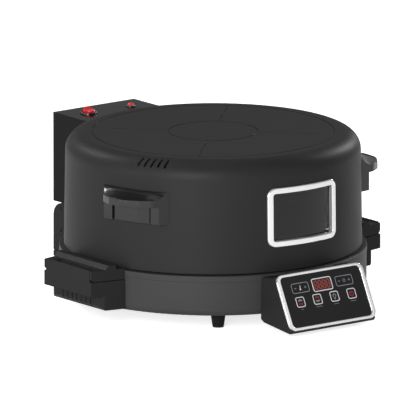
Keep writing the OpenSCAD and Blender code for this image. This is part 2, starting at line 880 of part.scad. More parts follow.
module base_pan() color("#333335") {
    lip_r = ring_r - pan_wall - lip_ledge;
    difference() {
        union() {
            rotate_extrude() difference() {
                union() {
                    translate([base_r - pan_fillet, foot_h + pan_fillet]) circle(r = pan_fillet);
                    polygon([[floor_hole_r, foot_h], [base_r - pan_fillet, foot_h],
                             [base_r - pan_fillet, foot_h + pan_fillet],
                             [base_r, foot_h + pan_fillet], [base_r, pan_top],
                             [floor_hole_r, pan_top]]);
                }
                union() {
                    translate([base_r - pan_fillet, foot_h + pan_fillet])
                        circle(r = pan_fillet - pan_wall);
                    polygon([[0, foot_h + pan_wall], [base_r - pan_fillet, foot_h + pan_wall],
                             [base_r - pan_fillet, foot_h + pan_fillet],
                             [base_r - pan_wall, foot_h + pan_fillet],
                             [base_r - pan_wall, pan_top + 1], [0, pan_top + 1]]);
                }
            }
            // upstand that carries the reflector's flange and locates the ring
            rotate_extrude() polygon([[lip_r - 2.4, pan_top - 10], [base_r - pan_wall + eps,
                pan_top - 14], [base_r - pan_wall + eps, pan_top - 3], [lip_r, pan_top - 3],
                [lip_r, dish_rim_z], [lip_r - 2.4, dish_rim_z]]);
            foot_places() translate([0, 0, foot_h + pan_wall - eps])
                cylinder(h = 10, r = 6);
        }
        foot_places() translate([0, 0, foot_h - 1]) cylinder(h = 12, r = screw_r + run_fit);
        pan_screw_places() forward(base_r - 30, base_r + 5, 0) circle(r = screw_r + 0.3);
        cover_screw_places() translate([0, 0, foot_h - 1])
            cylinder(h = pan_wall + 2, r = cover_screw_r + run_fit);
        // way of the wires to the rear housing
        backward(base_r - 20, base_r + 5, pan_screw_z) circle(r = 6);
    }
}

module base_ring() color("#38383a") {
    edge_r = 0.8;
    rotate_extrude() {
        polygon([[ring_r - 12, ring_top - flange_t], [ring_r - pan_wall, ring_top - flange_t],
                 [ring_r - pan_wall, ring_z], [ring_r, ring_z], [ring_r, ring_top - edge_r],
                 [ring_r - edge_r, ring_top - edge_r], [ring_r - edge_r, ring_top],
                 [ring_r - 12, ring_top]]);
        translate([ring_r - edge_r, ring_top - edge_r]) circle(r = edge_r);
    }
}

module base_reflector() color("#b9babb") {
    t = liner_wall;
    outer = ring_r - pan_wall - lip_ledge;
    difference() {
        rotate_extrude() polygon([[bush_r, dish_z], [dish_floor_r, dish_z],
            [dish_top_r, dish_rim_z], [outer, dish_rim_z], [outer, dish_rim_z + t],
            [dish_top_r - t, dish_rim_z + t], [dish_floor_r - t, dish_z + t],
            [bush_r, dish_z + t]]);
        for (x = [-1, 1]) translate([x * leg_x, 0, 0])
            backward(dish_floor_r - 10, base_r, lower_loop_z) circle(r = tube_r + 0.5);
    }
}

module bottom_cover() color("#2a2a2b") {
    t = 1.2;
    translate([0, 0, foot_h - t]) linear_extrude(t) difference() {
        circle(r = floor_hole_r + 6);
        cover_screw_places() circle(r = cover_screw_r + run_fit);
        for (a = [0 : 30 : 330], r = [60 : 14 : 116])
            rotate([0, 0, a]) translate([r, 0]) {
                square([8, 3], center = true);
                for (e = [-4, 4]) translate([e, 0]) circle(r = 1.5);
            }
    }
}

module foot() {
    difference() {
        translate([0, 0, pad_h]) cylinder(h = foot_h - pad_h, r1 = foot_tip_r, r2 = foot_r);
        translate([0, 0, -1]) cylinder(h = foot_h + 2, r = screw_r + run_fit);
        cylinder(h = 6, r = head_r + 0.3);
    }
}

module foot_front_left() color("#232324") at(-foot_angle) translate([0, -foot_circle_r, 0]) foot();
module foot_front_right() color("#232324") at(foot_angle) translate([0, -foot_circle_r, 0]) foot();
module foot_rear_left() color("#232324")
    at(180 + foot_angle) translate([0, -foot_circle_r, 0]) foot();
module foot_rear_right() color("#232324")
    at(180 - foot_angle) translate([0, -foot_circle_r, 0]) foot();

module foot_pads() color("#171717") foot_places() difference() {
    cylinder(h = pad_h, r = foot_tip_r - 0.2);
    translate([0, 0, -1]) cylinder(h = 4, r = head_r + 0.3);
}

module foot_screws() color("#8c8c8c") foot_places() {
    translate([0, 0, 3]) cylinder(h = 3, r = head_r);
    translate([0, 0, 6 - eps]) cylinder(h = foot_h + 4, r = screw_r);
}

module cover_screws() color("#8c8c8c") cover_screw_places() {
    translate([0, 0, foot_h - 2.6]) cylinder(h = 1.4, r = 2 * cover_screw_r);
    translate([0, 0, foot_h - 1.2 - eps]) cylinder(h = 4.4, r = cover_screw_r);
}

module pan_screws() color("#8c8c8c") pan_screw_places()
    radial_screw(base_r - head_seat, base_r - head_seat + pan_screw_l, 0, 0, screw_r);

module lower_element() color("#54504c")
    heating_loop(lower_loop_r, lower_loop_z, lower_leg_end);

module lower_element_posts() color("#9a9a9a") {
    z0 = dish_z + liner_wall;
    w = 8;
    depth = 12;
    for (a = [0, 120, 240])
        at(a) translate([-w / 2, -lower_loop_r - depth / 2, z0]) difference() {
            cube([w, depth, lower_loop_z + tube_r + 1.8 - z0]);
            translate([-1, depth / 2, lower_loop_z - z0]) rotate([0, 90, 0])
                cylinder(h = w + 2, r = tube_r + 0.5);
        }
}

module temperature_probe() color("#a8aaac") {
    inset = 13.5;
    at(-138) translate([0, inset - dish_floor_r, dish_z + liner_wall]) {
        cylinder(h = 3, r = 6);
        cylinder(h = 11, r = 2.5);
    }
}

// ---- side grips ---------------------------------------------------------------------

// Plan of the right grip out to a given distance, with ends that flare to the drum
module grip_plan(x1, inset = 0) {
    half = grip_w / 2 - inset;
    slope = tan(grip_flare);
    root = half + (grip_x - root_r) * slope;
    end = half + (grip_x - x1) * slope;
    polygon([[root_r, -root], [x1, -end], [x1, end], [root_r, root]]);
}

// Plan of the lower block, with outer corners rounded into the flared ends
module grip_low_plan(x1, r) {
    f = grip_flare;
    half = grip_w / 2 + (grip_x - x1) * tan(f);
    cx = x1 - r;
    cy = half - r * (1 - sin(f)) / cos(f);
    root = half + (x1 - root_r) * tan(f);
    polygon([[root_r, -root], [cx + r * sin(f), -cy - r * cos(f)], [cx, -cy], [x1, -cy],
             [x1, cy], [cx, cy], [cx + r * sin(f), cy + r * cos(f)], [root_r, root]]);
    for (y = [-cy, cy]) translate([cx, y]) circle(r = r);
}

module grip_right_form() {
    low_x = grip_x - finger_depth;
    bevel = 5;
    corner = 8;
    slit = 1.6;
    wall_w = grip_w - 7.2;
    difference() {
        union() {
            // upper block that the hand lifts by
            translate([0, 0, finger_z]) linear_extrude(grip_cover_z - finger_z)
                grip_plan(grip_x);
            // lower block behind the finger space, bevelled towards its floor
            difference() {
                translate([0, 0, grip_bottom]) linear_extrude(finger_z - grip_bottom + eps)
                    grip_low_plan(low_x, corner);
                translate([low_x, 0, grip_bottom]) rotate([0, 45, 0])
                    cube([bevel * sqrt(2), 200, bevel * sqrt(2)], center = true);
            }
            // outer wall up to the top edge
            translate([grip_x - grip_wall, -wall_w / 2, grip_cover_z - eps])
                cube([grip_wall, wall_w, grip_top - grip_cover_z]);
            // posts that carry the cover
            for (y = [-grip_post_y, grip_post_y])
                translate([grip_post_x, y, grip_cover_z - eps]) cylinder(h = 9 + eps, r = 5);
        }
        base_form(seat_gap);
        for (i = [0 : grip_slots - 1])
            translate([low_x - 5, (i - (grip_slots - 1) / 2) * grip_slot_pitch - slit / 2,
                       grip_bottom - 1])
                cube([10, slit, finger_z - grip_bottom]);
        pan_screw_places() forward(base_r - 5, base_r + 12, 0) circle(r = screw_r + run_fit);
    }
}

module grip_cover_form() {
    gap = 0.8;
    skirt = 3;
    deck_t = 4.5;
    rib_top = grip_top + 4.6;
    rib_x = ring_r + 3;
    rib_w = 9.6;
    slope_w = 5.2;
    deck_z = grip_top - gap;
    post_top = grip_cover_z + 9;
    dish_x = rib_x + rib_w + slope_w + 3;
    difference() {
        union() {
            translate([0, 0, deck_z - deck_t]) linear_extrude(deck_t)
                grip_plan(grip_x - grip_wall - gap / 2);
            // skirts over both ends
            translate([0, 0, grip_cover_z + gap]) linear_extrude(deck_z - grip_cover_z - gap)
                difference() {
                    grip_plan(grip_x);
                    grip_plan(grip_x + 10, skirt);
                }
            // raised rib beside the lid that slopes down to the deck
            intersection() {
                translate([0, 100, 0]) rotate([90, 0, 0]) linear_extrude(200)
                    polygon([[rib_x, deck_z - deck_t], [rib_x + rib_w + slope_w, deck_z - deck_t],
                             [rib_x + rib_w + slope_w, deck_z], [rib_x + rib_w, rib_top],
                             [rib_x, rib_top]]);
                linear_extrude(lid_top) grip_plan(grip_x);
            }
            // seats on the posts
            for (y = [-1, 1])
                translate([grip_post_x, y * grip_post_y, post_top])
                    cylinder(h = deck_z - deck_t - post_top + eps, r = 5);
        }
        // room for the ring and for the lid above it
        cylinder(h = lid_top, r = ring_r + seat_gap);
        // chamfers at the skirts' outer lower corners
        for (y = [-1, 1])
            translate([grip_x + 1, y * 60, grip_cover_z]) rotate([0, 45, 0])
                cube([7.5, 40, 7.5], center = true);
        // finger dish with three drain slots
        translate([dish_x, -36, deck_z - 2.5]) cube([9, 72, 5]);
        for (y = [-24, 0, 24])
            translate([dish_x + 3, y - 8, deck_z - 20]) cube([3, 16, 40]);
    }
}

module grip_right() color("#262628") grip_right_form();
module grip_left() color("#262628") left() grip_right_form();
module grip_cover_right() color("#2b2b2d") grip_cover_form();
module grip_cover_left() color("#2b2b2d") left() grip_cover_form();

// ---- control panel ------------------------------------------------------------------

// Puts what is drawn in the panel's own plane on the leaning face
module on_panel() {
    translate([0, -panel_y, panel_z]) rotate([90 - panel_lean, 0, 0]) children();
}

// Outline of a touch key or of the display, of the given outer size
module key_outline(w, h) {
    line = 0.8;
    frame_2d(w - 2 * line, h - 2 * line, 1.4, line);
}

// Two wide keys beside the display and a row of four square ones
module keys() {
    frame_w = display_w + 2.6;
    translate([0, display_rise]) key_outline(frame_w, display_h + 2.6);
    for (s = [-1, 1])
        translate([s * (frame_w / 2 + 5.8 + wide_key_w / 2), display_rise])
            key_outline(wide_key_w, wide_key_h);
    for (i = [-1.5 : 1.5]) translate([i * key_pitch, -key_drop]) key_outline(key_s, key_s);
}

module control_housing() color("#232325") {
    side = 2;
    top_y = panel_y - panel_h * sin(panel_lean);
    top_z = panel_z + panel_h * cos(panel_lean);
    difference() {
        translate([-panel_w / 2 + side, 0, 0]) rotate([90, 0, 90])
            linear_extrude(panel_w - 2 * side)
                polygon([[-panel_y, panel_z], [-top_y, top_z - 1], [-top_y + 6, top_z - 4],
                         [-base_r + 8, ring_top - 2], [-base_r + 10, foot_h - 4.2],
                         [-base_r + 4, foot_h - 7.7], [-panel_y + 3, panel_z - 3.7]]);
        base_form(seat_gap);
        // room for the lid above the ring
        translate([0, 0, ring_z]) cylinder(h = lid_h, r = ring_r + seat_gap);
        // pocket for the board behind the fascia
        on_panel() translate([0, panel_h / 2, -pocket_depth]) linear_extrude(30)
            round_rect(panel_open_w, panel_open_h, panel_open_r);
        pan_screw_places() forward(base_r - 5, base_r + 12, 0) circle(r = screw_r + run_fit);
    }
}

// One step of the bezel, narrower by inset on both of its edges
module bezel_step(inset, z0, z1) {
    translate([0, 0, z0]) linear_extrude(z1 - z0) difference() {
        round_rect(panel_w - 2 * inset, panel_h - 2 * inset, panel_corner_r - inset);
        round_rect(panel_open_w + 2 * inset, panel_open_h + 2 * inset, panel_open_r + inset);
    }
}

module control_bezel() color("#e6e6e4") on_panel() translate([0, panel_h / 2, 0]) {
    bezel_step(0, 0, panel_proud * 0.45);
    bezel_step(0.5, panel_proud * 0.45 - eps, panel_proud * 0.75);
    bezel_step(1.1, panel_proud * 0.75 - eps, panel_proud);
}

module control_fascia() color("#151516") {
    gap = 0.2;
    on_panel() translate([0, panel_h / 2, 0]) difference() {
        translate([0, 0, -1]) linear_extrude(2)
            round_rect(panel_open_w - 2 * gap, panel_open_h - 2 * gap, panel_open_r - gap);
        translate([0, display_rise, -2]) linear_extrude(5)
            square([display_w, display_h], center = true);
        translate([0, 0, 0.8]) linear_extrude(2) keys();
    }
}

module display_module() color("#3a0d0d") {
    on_panel() translate([0, panel_h / 2 + display_rise, 0]) {
        translate([0, 0, -1]) linear_extrude(1.7)
            square([display_w - 0.4, display_h - 0.4], center = true);
        translate([0, 0, -board_depth]) linear_extrude(board_depth - 1 + eps)
            square([display_w + 4, display_h + 3], center = true);
    }
}

module control_board() color("#1f5c3a") {
    t = 1.6;
    w = panel_open_w - 6;
    h = panel_open_h - 6;
    on_panel() translate([0, panel_h / 2, 0]) {
        translate([0, 0, -board_depth - t]) linear_extrude(t) square([w, h], center = true);
        for (x = [-1, 1], y = [-1, 1])
            translate([x * (w / 2 - 5), y * (h / 2 - 5), -pocket_depth])
                cylinder(h = pocket_depth - board_depth - t + eps, r = 3);
    }
}

// ---- rear housing and hinge ---------------------------------------------------------

module rear_base() color("#29292b") {
    groove = 0.8;
    difference() {
        translate([-rear_w / 2, root_r, foot_h]) cube([rear_w, rear_y - root_r, rear_base_h]);
        base_form(seat_gap);
        // shadow line round the lower edge
        translate([0, 0, foot_h + 7.4]) linear_extrude(1) difference() {
            translate([-rear_w, root_r - 1]) square([2 * rear_w, rear_y]);
            translate([-rear_w / 2 + groove, root_r - 2])
                square([rear_w - 2 * groove, rear_y - groove - root_r + 2]);
        }
        // recess and pocket of the inlet
        backward(inlet_y, rear_y + 1, inlet_z)
            round_rect(inlet_flange_w + 2 * seat_gap, inlet_flange_h + 2 * seat_gap,
                       inlet_flange_r + seat_gap);
        backward(inlet_y - inlet_pocket_d - 1, rear_y, inlet_z)
            square([27 + 2 * seat_gap, 20 + 2 * seat_gap], center = true);
        for (x = [-1, 1]) translate([x * inlet_screw_x, 0, 0])
            backward(inlet_y - 12, rear_y, inlet_z) circle(r = cover_screw_r + run_fit);
        pan_screw_places() forward(base_r - 30, base_r + 12, 0) circle(r = screw_r + run_fit);
    }
}

module rear_housing() color("#29292b") {
    z0 = rear_base_top + seam;
    top = hinge_z + 21;
    arc = rear_y - hinge_y;
    inner_w = rear_w - 2 * shell_t;
    difference() {
        translate([-rear_w / 2, 0, 0]) rotate([90, 0, 90]) linear_extrude(rear_w)
            rear_outline(root_r, z0, top, arc, 0);
        translate([-inner_w / 2, 0, 0]) rotate([90, 0, 90]) linear_extrude(inner_w)
            rear_outline(root_r - 50, z0 - 5, top, arc, shell_t);
        // swing of the lid's rim
        cylinder(h = lid_top, r = ring_r + 3);
        for (s = [-1, 1])
            translate([s * arm_x - arm_t / 2 - 1.5, hinge_y - arm_eye_r - 2, hinge_z - arm_eye_r - 2])
                cube([arm_t + 3, 100, 100]);
        for (s = [-1, 1], z = [-1, 1])
            translate([s * rear_w / 2, hinge_y, hinge_z + z * side_screw_dz]) rotate([0, 90, 0])
                cylinder(h = 20, r = side_screw_r + 0.2, center = true);
    }
}

// Side view of the rear housing with its round upper rear corner
module rear_outline(y0, z0, z1, arc, off) {
    translate([y0, z0]) square([rear_y - arc - y0, z1 - off - z0]);
    translate([y0, z0]) square([rear_y - off - y0, z1 - arc - z0]);
    translate([rear_y - arc, z1 - arc]) circle(r = arc - off);
}

module hinge_bracket() color("#a0a2a4") {
    w = rear_w - 2 * shell_t - 0.4;
    t = 3;
    front = 14;
    back = 7;
    rise = side_screw_dz + 2.5;
    difference() {
        union() {
            translate([-w / 2, hinge_y - front - 4, rear_base_top]) cube([w, front + back + 8, t]);
            for (s = [-1, 1])
                translate([s * (w / 2 - t / 2) - t / 2, hinge_y - front, rear_base_top])
                    cube([t, front + back, hinge_z + rise - rear_base_top]);
        }
        translate([-w, hinge_y, hinge_z]) rotate([0, 90, 0])
            cylinder(h = 2 * w, r = pin_r + run_fit);
        for (z = [-1, 1])
            translate([-w, hinge_y, hinge_z + z * side_screw_dz]) rotate([0, 90, 0])
                cylinder(h = 2 * w, r = 1.6 + run_fit);
    }
}

module hinge_pin() color("#c0c2c4") {
    w = rear_w - 2 * shell_t - 0.6;
    translate([-w / 2, hinge_y, hinge_z]) rotate([0, 90, 0]) cylinder(h = w, r = pin_r);
}

module housing_screws() color("#3a3a3b") {
    x1 = rear_w / 2 - 0.8;
    x0 = rear_w / 2 - shell_t - 0.2;
    for (s = [0, 1], z = [-1, 1])
        mirror([s, 0, 0]) translate([0, hinge_y, hinge_z + z * side_screw_dz])
            rotate([0, 90, 0]) {
                translate([0, 0, x0]) cylinder(h = x1 - x0, r = side_screw_r);
                translate([0, 0, x0 - 7]) cylinder(h = 7 + eps, r = 1.6);
            }
}

module power_inlet() color("#1a1a1b") {
    socket_d = 18;
    difference() {
        union() {
            backward(inlet_y, inlet_y + 2, inlet_z)
                round_rect(inlet_flange_w, inlet_flange_h, inlet_flange_r);
            backward(inlet_y - inlet_pocket_d, inlet_y, inlet_z) square([27, 20], center = true);
        }
        // socket with chamfered upper corners
        backward(inlet_y + 2 - socket_d, rear_y, inlet_z)
            polygon([[-12, -8], [12, -8], [12, 3], [8, 7.8], [-8, 7.8], [-12, 3]]);
        for (x = [-1, 1]) translate([x * inlet_screw_x, 0, 0])
            backward(inlet_y - 1, rear_y, inlet_z) circle(r = cover_screw_r + 0.2);
    }
    // three contact blades, the middle one higher
    for (x = [-1, 0, 1])
        translate([x * 7, 0, 0])
            backward(inlet_y + 2 - socket_d - eps, inlet_y - 2, inlet_z + (x == 0 ? 2 : -2))
                square([2, 4], center = true);
}

module inlet_screws() color("#8c8c8c") {
    for (x = [-1, 1]) translate([x * inlet_screw_x, 0, 0]) {
        backward(inlet_y + 2, inlet_y + 3.2, inlet_z) circle(r = 2 * cover_screw_r);
        backward(inlet_y - 10, inlet_y + 2 + eps, inlet_z) circle(r = cover_screw_r);
    }
}

// ---- the parts ----------------------------------------------------------------------

lid_shell();
lid_liner();
upper_element();
upper_element_clips();
window_bezel();
window_frame();
window_glass();
handle_left();
handle_right();
handle_screws();
hinge_box();
hinge_plate();
hinge_arm_left();
hinge_arm_right();
hinge_spacers();
hinge_screws();
switch_bezel();
power_rocker();
pilot_bezel();
pilot_lens();
oven_lamp_lens();
oven_lamp_holder();
oven_lamp_bulb();
pizza_stone();
stone_carrier();
drive_shaft();
base_pan();
base_ring();
base_reflector();
bottom_cover();
foot_front_left();
foot_front_right();
foot_rear_left();
foot_rear_right();
foot_pads();
foot_screws();
lower_element();
lower_element_posts();
drive_motor();
motor_bracket();
shaft_bush();
temperature_probe();
grip_left();
grip_right();
grip_cover_left();
grip_cover_right();
pan_screws();
control_housing();
control_bezel();
control_fascia();
display_module();
control_board();
cover_screws();
rear_base();
rear_housing();
hinge_bracket();
hinge_pin();
housing_screws();
power_inlet();
inlet_screws();
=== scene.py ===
import json
import math

import bmesh
import bpy
from mathutils import Matrix, Vector

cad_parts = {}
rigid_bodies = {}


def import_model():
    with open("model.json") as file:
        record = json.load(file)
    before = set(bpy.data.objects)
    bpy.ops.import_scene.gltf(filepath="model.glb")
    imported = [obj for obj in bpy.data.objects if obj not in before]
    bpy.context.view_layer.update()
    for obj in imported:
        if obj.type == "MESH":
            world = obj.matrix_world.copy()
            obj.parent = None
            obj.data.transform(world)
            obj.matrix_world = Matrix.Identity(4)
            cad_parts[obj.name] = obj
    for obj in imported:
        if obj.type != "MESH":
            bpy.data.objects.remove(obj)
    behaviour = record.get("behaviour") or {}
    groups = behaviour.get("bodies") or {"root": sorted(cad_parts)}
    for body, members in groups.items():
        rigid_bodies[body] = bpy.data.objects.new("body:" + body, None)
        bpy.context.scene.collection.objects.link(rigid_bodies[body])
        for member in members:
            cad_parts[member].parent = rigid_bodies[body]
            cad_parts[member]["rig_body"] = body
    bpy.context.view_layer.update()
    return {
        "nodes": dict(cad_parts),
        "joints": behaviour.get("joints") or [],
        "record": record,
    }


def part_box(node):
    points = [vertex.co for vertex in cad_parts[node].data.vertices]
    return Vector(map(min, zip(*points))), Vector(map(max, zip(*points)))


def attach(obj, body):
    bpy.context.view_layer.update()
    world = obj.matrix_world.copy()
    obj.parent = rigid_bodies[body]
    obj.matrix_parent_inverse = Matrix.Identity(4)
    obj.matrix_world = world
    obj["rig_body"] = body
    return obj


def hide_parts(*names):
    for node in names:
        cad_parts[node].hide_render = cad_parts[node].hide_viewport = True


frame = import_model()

bl_info = {
    "name": "Pizza maker finishes",
    "version": (1, 0, 0),
    "blender": (4, 5, 0),
    "location": "View3D > Sidebar > Pizza maker",
    "description": "Builds the visible pieces, finishes and studio round the CAD frame",
    "category": "Object",
}

MM = 0.001
NODES = frame["nodes"]
LID_CONE = math.tan(math.radians(0.84))     # how far the lid's side leans in per mm of height
WELD = 0.002 * MM                           # vertices closer than this are one
FLAT, SHARP = math.radians(0.5), math.radians(28)   # limits between faces when edges are eased


def mm_box(node):
    """Lowest and highest corner of a CAD node in millimetres."""
    lo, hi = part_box(node)
    return lo / MM, hi / MM


def linear(code):
    """An sRGB hex colour as linear RGB."""
    parts = [int(code[i:i + 2], 16) / 255 for i in (1, 3, 5)]
    return tuple(c / 12.92 if c <= 0.04045 else ((c + 0.055) / 1.055) ** 2.4 for c in parts)


# ---- sizes and colours that a user would change ----------------------------------------

class PizzaMakerSizes(bpy.types.PropertyGroup):
    """Sizes of the pieces that stand for CAD nodes."""
    window_band: bpy.props.FloatProperty(
        name="Window bezel width", description="Width of the polished window bezel",
        default=7.5 * MM, min=6 * MM, max=11 * MM, precision=5, unit="LENGTH")
    window_proud: bpy.props.FloatProperty(
        name="Window bezel height", description="How far the bezel stands out of the lid",
        default=2.8 * MM, min=1 * MM, max=4 * MM, precision=5, unit="LENGTH")
    handle_angle: bpy.props.FloatProperty(
        name="Handle angle", description="Angle of each lid handle from the front",
        default=math.radians(69.7), subtype="ANGLE", unit="ROTATION")
    rocker_tilt: bpy.props.FloatProperty(
        name="Rocker tilt", description="Tilt of the rocker at rest",
        default=math.radians(12), subtype="ANGLE", unit="ROTATION")
    panel_lean: bpy.props.FloatProperty(
        name="Panel lean", description="Backward lean of the control panel",
        default=math.radians(26.6), subtype="ANGLE", unit="ROTATION")
    panel_side: bpy.props.FloatProperty(
        name="Panel bezel side", description="Width of the panel bezel at its sides",
        default=5.9 * MM, min=3 * MM, max=10 * MM, precision=5, unit="LENGTH")
    panel_end: bpy.props.FloatProperty(
        name="Panel bezel top", description="Width of the panel bezel at top and bottom",
        default=3.7 * MM, min=2 * MM, max=8 * MM, precision=5, unit="LENGTH")
    panel_proud: bpy.props.FloatProperty(
        name="Panel bezel height", description="How far the panel bezel stands out",
        default=2.68 * MM, min=1 * MM, max=3 * MM, precision=5, unit="LENGTH")
    box_edge: bpy.props.FloatProperty(
        name="Switch box edge", description="Edge width of the switch box",
        default=1.0 * MM, min=0.2 * MM, max=2 * MM, precision=5, unit="LENGTH")
    panel_edge: bpy.props.FloatProperty(
        name="Panel housing edge", description="Edge width of the control panel's housing",
        default=0.8 * MM, min=0.2 * MM, max=2 * MM, precision=5, unit="LENGTH")
    grip_edge: bpy.props.FloatProperty(
        name="Grip edge", description="Edge width of the grips and the rear housing",
        default=0.6 * MM, min=0.2 * MM, max=2 * MM, precision=5, unit="LENGTH")
    foot_edge: bpy.props.FloatProperty(
        name="Foot edge", description="Edge width of the feet and the rear base",
        default=0.5 * MM, min=0.2 * MM, max=2 * MM, precision=5, unit="LENGTH")


class PizzaMakerColours(bpy.types.PropertyGroup):
    """Colours of the main finishes."""
    lid_enamel: bpy.props.FloatVectorProperty(
        name="Lid enamel", description="Colour of the lid's enamel", subtype="COLOR",
        default=linear("#282829"))
    base_enamel: bpy.props.FloatVectorProperty(
        name="Base enamel", description="Colour of the base's enamel", subtype="COLOR",
        default=linear("#3a3a3b"))
    moulding: bpy.props.FloatVectorProperty(
        name="Mouldings", description="Colour of the satin mouldings", subtype="COLOR",
        default=linear("#252526"))
    handle: bpy.props.FloatVectorProperty(
        name="Handles", description="Colour of the glossy lid handles", subtype="COLOR",
        default=linear("#101011"))
    rocker: bpy.props.FloatVectorProperty(
        name="Rocker and lamp", description="Colour of the red switch and signal lamp",
        subtype="COLOR", default=linear("#d3141c"))
    digits: bpy.props.FloatVectorProperty(
        name="Digits", description="Colour of the lit digits", subtype="COLOR",
        default=linear("#8c3226"))


# ---- node trees ------------------------------------------------------------------------

def add(tree, kind, settings=None, links=None):
    """Adds a node, sets its properties and input values, and links {input: (node, output)}."""
    made = tree.nodes.new(kind)
    for key, value in (settings or {}).items():
        if isinstance(key, str) and hasattr(made, key):
            setattr(made, key, value)
        else:
            made.inputs[key].default_value = value
    for key, (source, output) in (links or {}).items():
        tree.links.new(source.outputs[output], made.inputs[key])
    return made


def rgba(colour):
    return (*colour[:3], 1.0)


def finish(name, colour, roughness, metallic=0.0, ior=1.5, grain=1.0, bump=0.1, depth=0.05,
           stretch=(1, 1, 1), mottle=12.0, shade=0.08, spread=0.06, edge=0.3, coat=0.0,
           specular=0.5, transmission=0.0, alt=None, alt_size=2.0, alt_share=0.5,
           glow=0.0):
    """One finish: fine grain as bump, cloudy tone and gloss, and softened edges.

    In mm: grain is the size of the surface's texture and depth its height, mottle the size
    of the slow change of tone, alt_size that of the specks in a second colour, and edge the
    rounding that the light sees. shade and spread are how far tone and roughness vary.
    """
    if name in bpy.data.materials:
        return bpy.data.materials[name]
    material = bpy.data.materials.new(name)
    material.use_nodes = True
    tree = material.node_tree
    tree.nodes.clear()
    colour = rgba(colour)
    place = add(tree, "ShaderNodeTexCoord")
    scaled = add(tree, "ShaderNodeMapping", {"Scale": stretch}, {"Vector": (place, "Object")})
    fine = add(tree, "ShaderNodeTexNoise", {"Scale": 1 / (grain * MM), "Detail": 3.0},
               {"Vector": (scaled, "Vector")})
    slow = add(tree, "ShaderNodeTexNoise", {"Scale": 1 / (mottle * MM), "Detail": 4.0},
               {"Vector": (place, "Object")})
    tone = add(tree, "ShaderNodeMapRange",
               {"To Min": 1 - shade, "To Max": 1 + shade}, {"Value": (slow, "Fac")})
    base = add(tree, "ShaderNodeMix", {"data_type": "RGBA", "blend_type": "MULTIPLY",
                                       "Factor": 1.0, 6: colour}, {7: (tone, "Result")})
    if alt:
        specks = add(tree, "ShaderNodeTexNoise", {"Scale": 1 / (alt_size * MM), "Detail": 2.0},
                     {"Vector": (scaled, "Vector")})
        # most of the noise lies between 0.35 and 0.65: these limits leave about alt_share
        mask = add(tree, "ShaderNodeMapRange",
                   {"From Min": 0.62 - 0.3 * alt_share, "From Max": 0.66 - 0.2 * alt_share},
                   {"Value": (specks, "Fac")})
        base = add(tree, "ShaderNodeMix", {"data_type": "RGBA", 7: rgba(alt)},
                   {0: (mask, "Result"), 6: (base, 2)})
    gloss = add(tree, "ShaderNodeMapRange", {"To Min": max(roughness - spread, 0.01),
                                             "To Max": roughness + spread},
                {"Value": (slow, "Fac")})
    eased = add(tree, "ShaderNodeBevel", {"samples": 4, "Radius": edge * MM})
    relief = add(tree, "ShaderNodeBump", {"Strength": bump, "Distance": depth * MM},
                 {"Height": (fine, "Fac"), "Normal": (eased, "Normal")})
    shader = add(tree, "ShaderNodeBsdfPrincipled",
                 {"Metallic": metallic, "IOR": ior, "Coat Weight": coat,
                  "Coat Roughness": 0.08, "Specular IOR Level": specular,
                  "Transmission Weight": transmission, "Emission Color": colour,
                  "Emission Strength": glow},
                 {"Base Color": (base, 2), "Roughness": (gloss, "Result"),
                  "Normal": (relief, "Normal")})
    out = add(tree, "ShaderNodeOutputMaterial", None, {"Surface": (shader, "BSDF")})
    out.is_active_output = True
    return material


def colours():
    return bpy.context.scene.pizza_maker_colours


def sizes():
    return bpy.context.scene.pizza_maker_sizes


def in_mm(size):
    """A length among the sizes, in millimetres."""
    return getattr(sizes(), size) / MM


def lid_enamel():
    # Stoved satin black enamel on pressed steel: low gloss, a faint orange peel of 2 mm
    return finish("stoved_satin_black_enamel", colours().lid_enamel, 0.5, grain=2.2,
                  bump=0.05, depth=0.05, mottle=40, spread=0.03, shade=0.05, edge=0.4,
                  specular=0.14)


def base_enamel():
    # Satin enamel on deep-drawn steel, a little greyer and duller than the lid's
    return finish("stoved_satin_enamel", colours().base_enamel, 0.5, grain=1.8,
                  bump=0.06, depth=0.05, mottle=40, spread=0.03, shade=0.05, edge=0.4,
                  specular=0.2)


def satin_moulding():
    # Heat-resistant PBT from a spark-eroded mould: a fine matt texture, drawn at 0.9 mm
    # where the real one is about 0.3 mm, so that it shows
    return finish("spark_eroded_pbt", colours().moulding, 0.5, grain=0.9, bump=0.16,
                  depth=0.06, mottle=25, spread=0.05, shade=0.07, edge=0.3, specular=0.1)


def matt_moulding():
    # Coarser matt polyamide of feet and inlet
    return finish("glass_filled_polyamide", linear("#1a1a1b"), 0.58, grain=0.8, bump=0.25,
                  depth=0.06, mottle=8, spread=0.06, shade=0.1, edge=0.3, specular=0.1)


def phenolic():
    # Compression-moulded phenolic resin: deep black with a near-polished skin
    return finish("polished_phenolic", colours().handle, 0.3, grain=3.0, bump=0.03,
                  depth=0.04, mottle=18, spread=0.04, shade=0.08, edge=0.3, coat=0.15)


def polished_abs():
    # Injection-moulded ABS with a polished skin and slow sink waves
    return finish("polished_abs", linear("#1a1a1c"), 0.07, grain=24.0, bump=0.03,
                  depth=0.2, mottle=50, spread=0.02, shade=0.04, edge=0.6, specular=0.05)


def chrome():
    # Bright nickel-chrome plating under a thin haze, partly diffuse: its white diffuse part is
    # painted reflection, which keeps it bright where it mirrors a dim side of the studio
    return finish("chrome_plating_painted_reflection", linear("#f2f2f3"), 0.1, metallic=0.72,
                  grain=9.0, bump=0.02, depth=0.05, mottle=30, spread=0.02, shade=0.02,
                  edge=0.2)


def black_nickel():
    # Black nickel plating of the small rings: a dark mirror with soft glints
    return finish("black_nickel_plating", linear("#57575a"), 0.22, metallic=1.0,
                  grain=5.0, bump=0.02, depth=0.04, mottle=12, spread=0.04, shade=0.04,
                  edge=0.2)


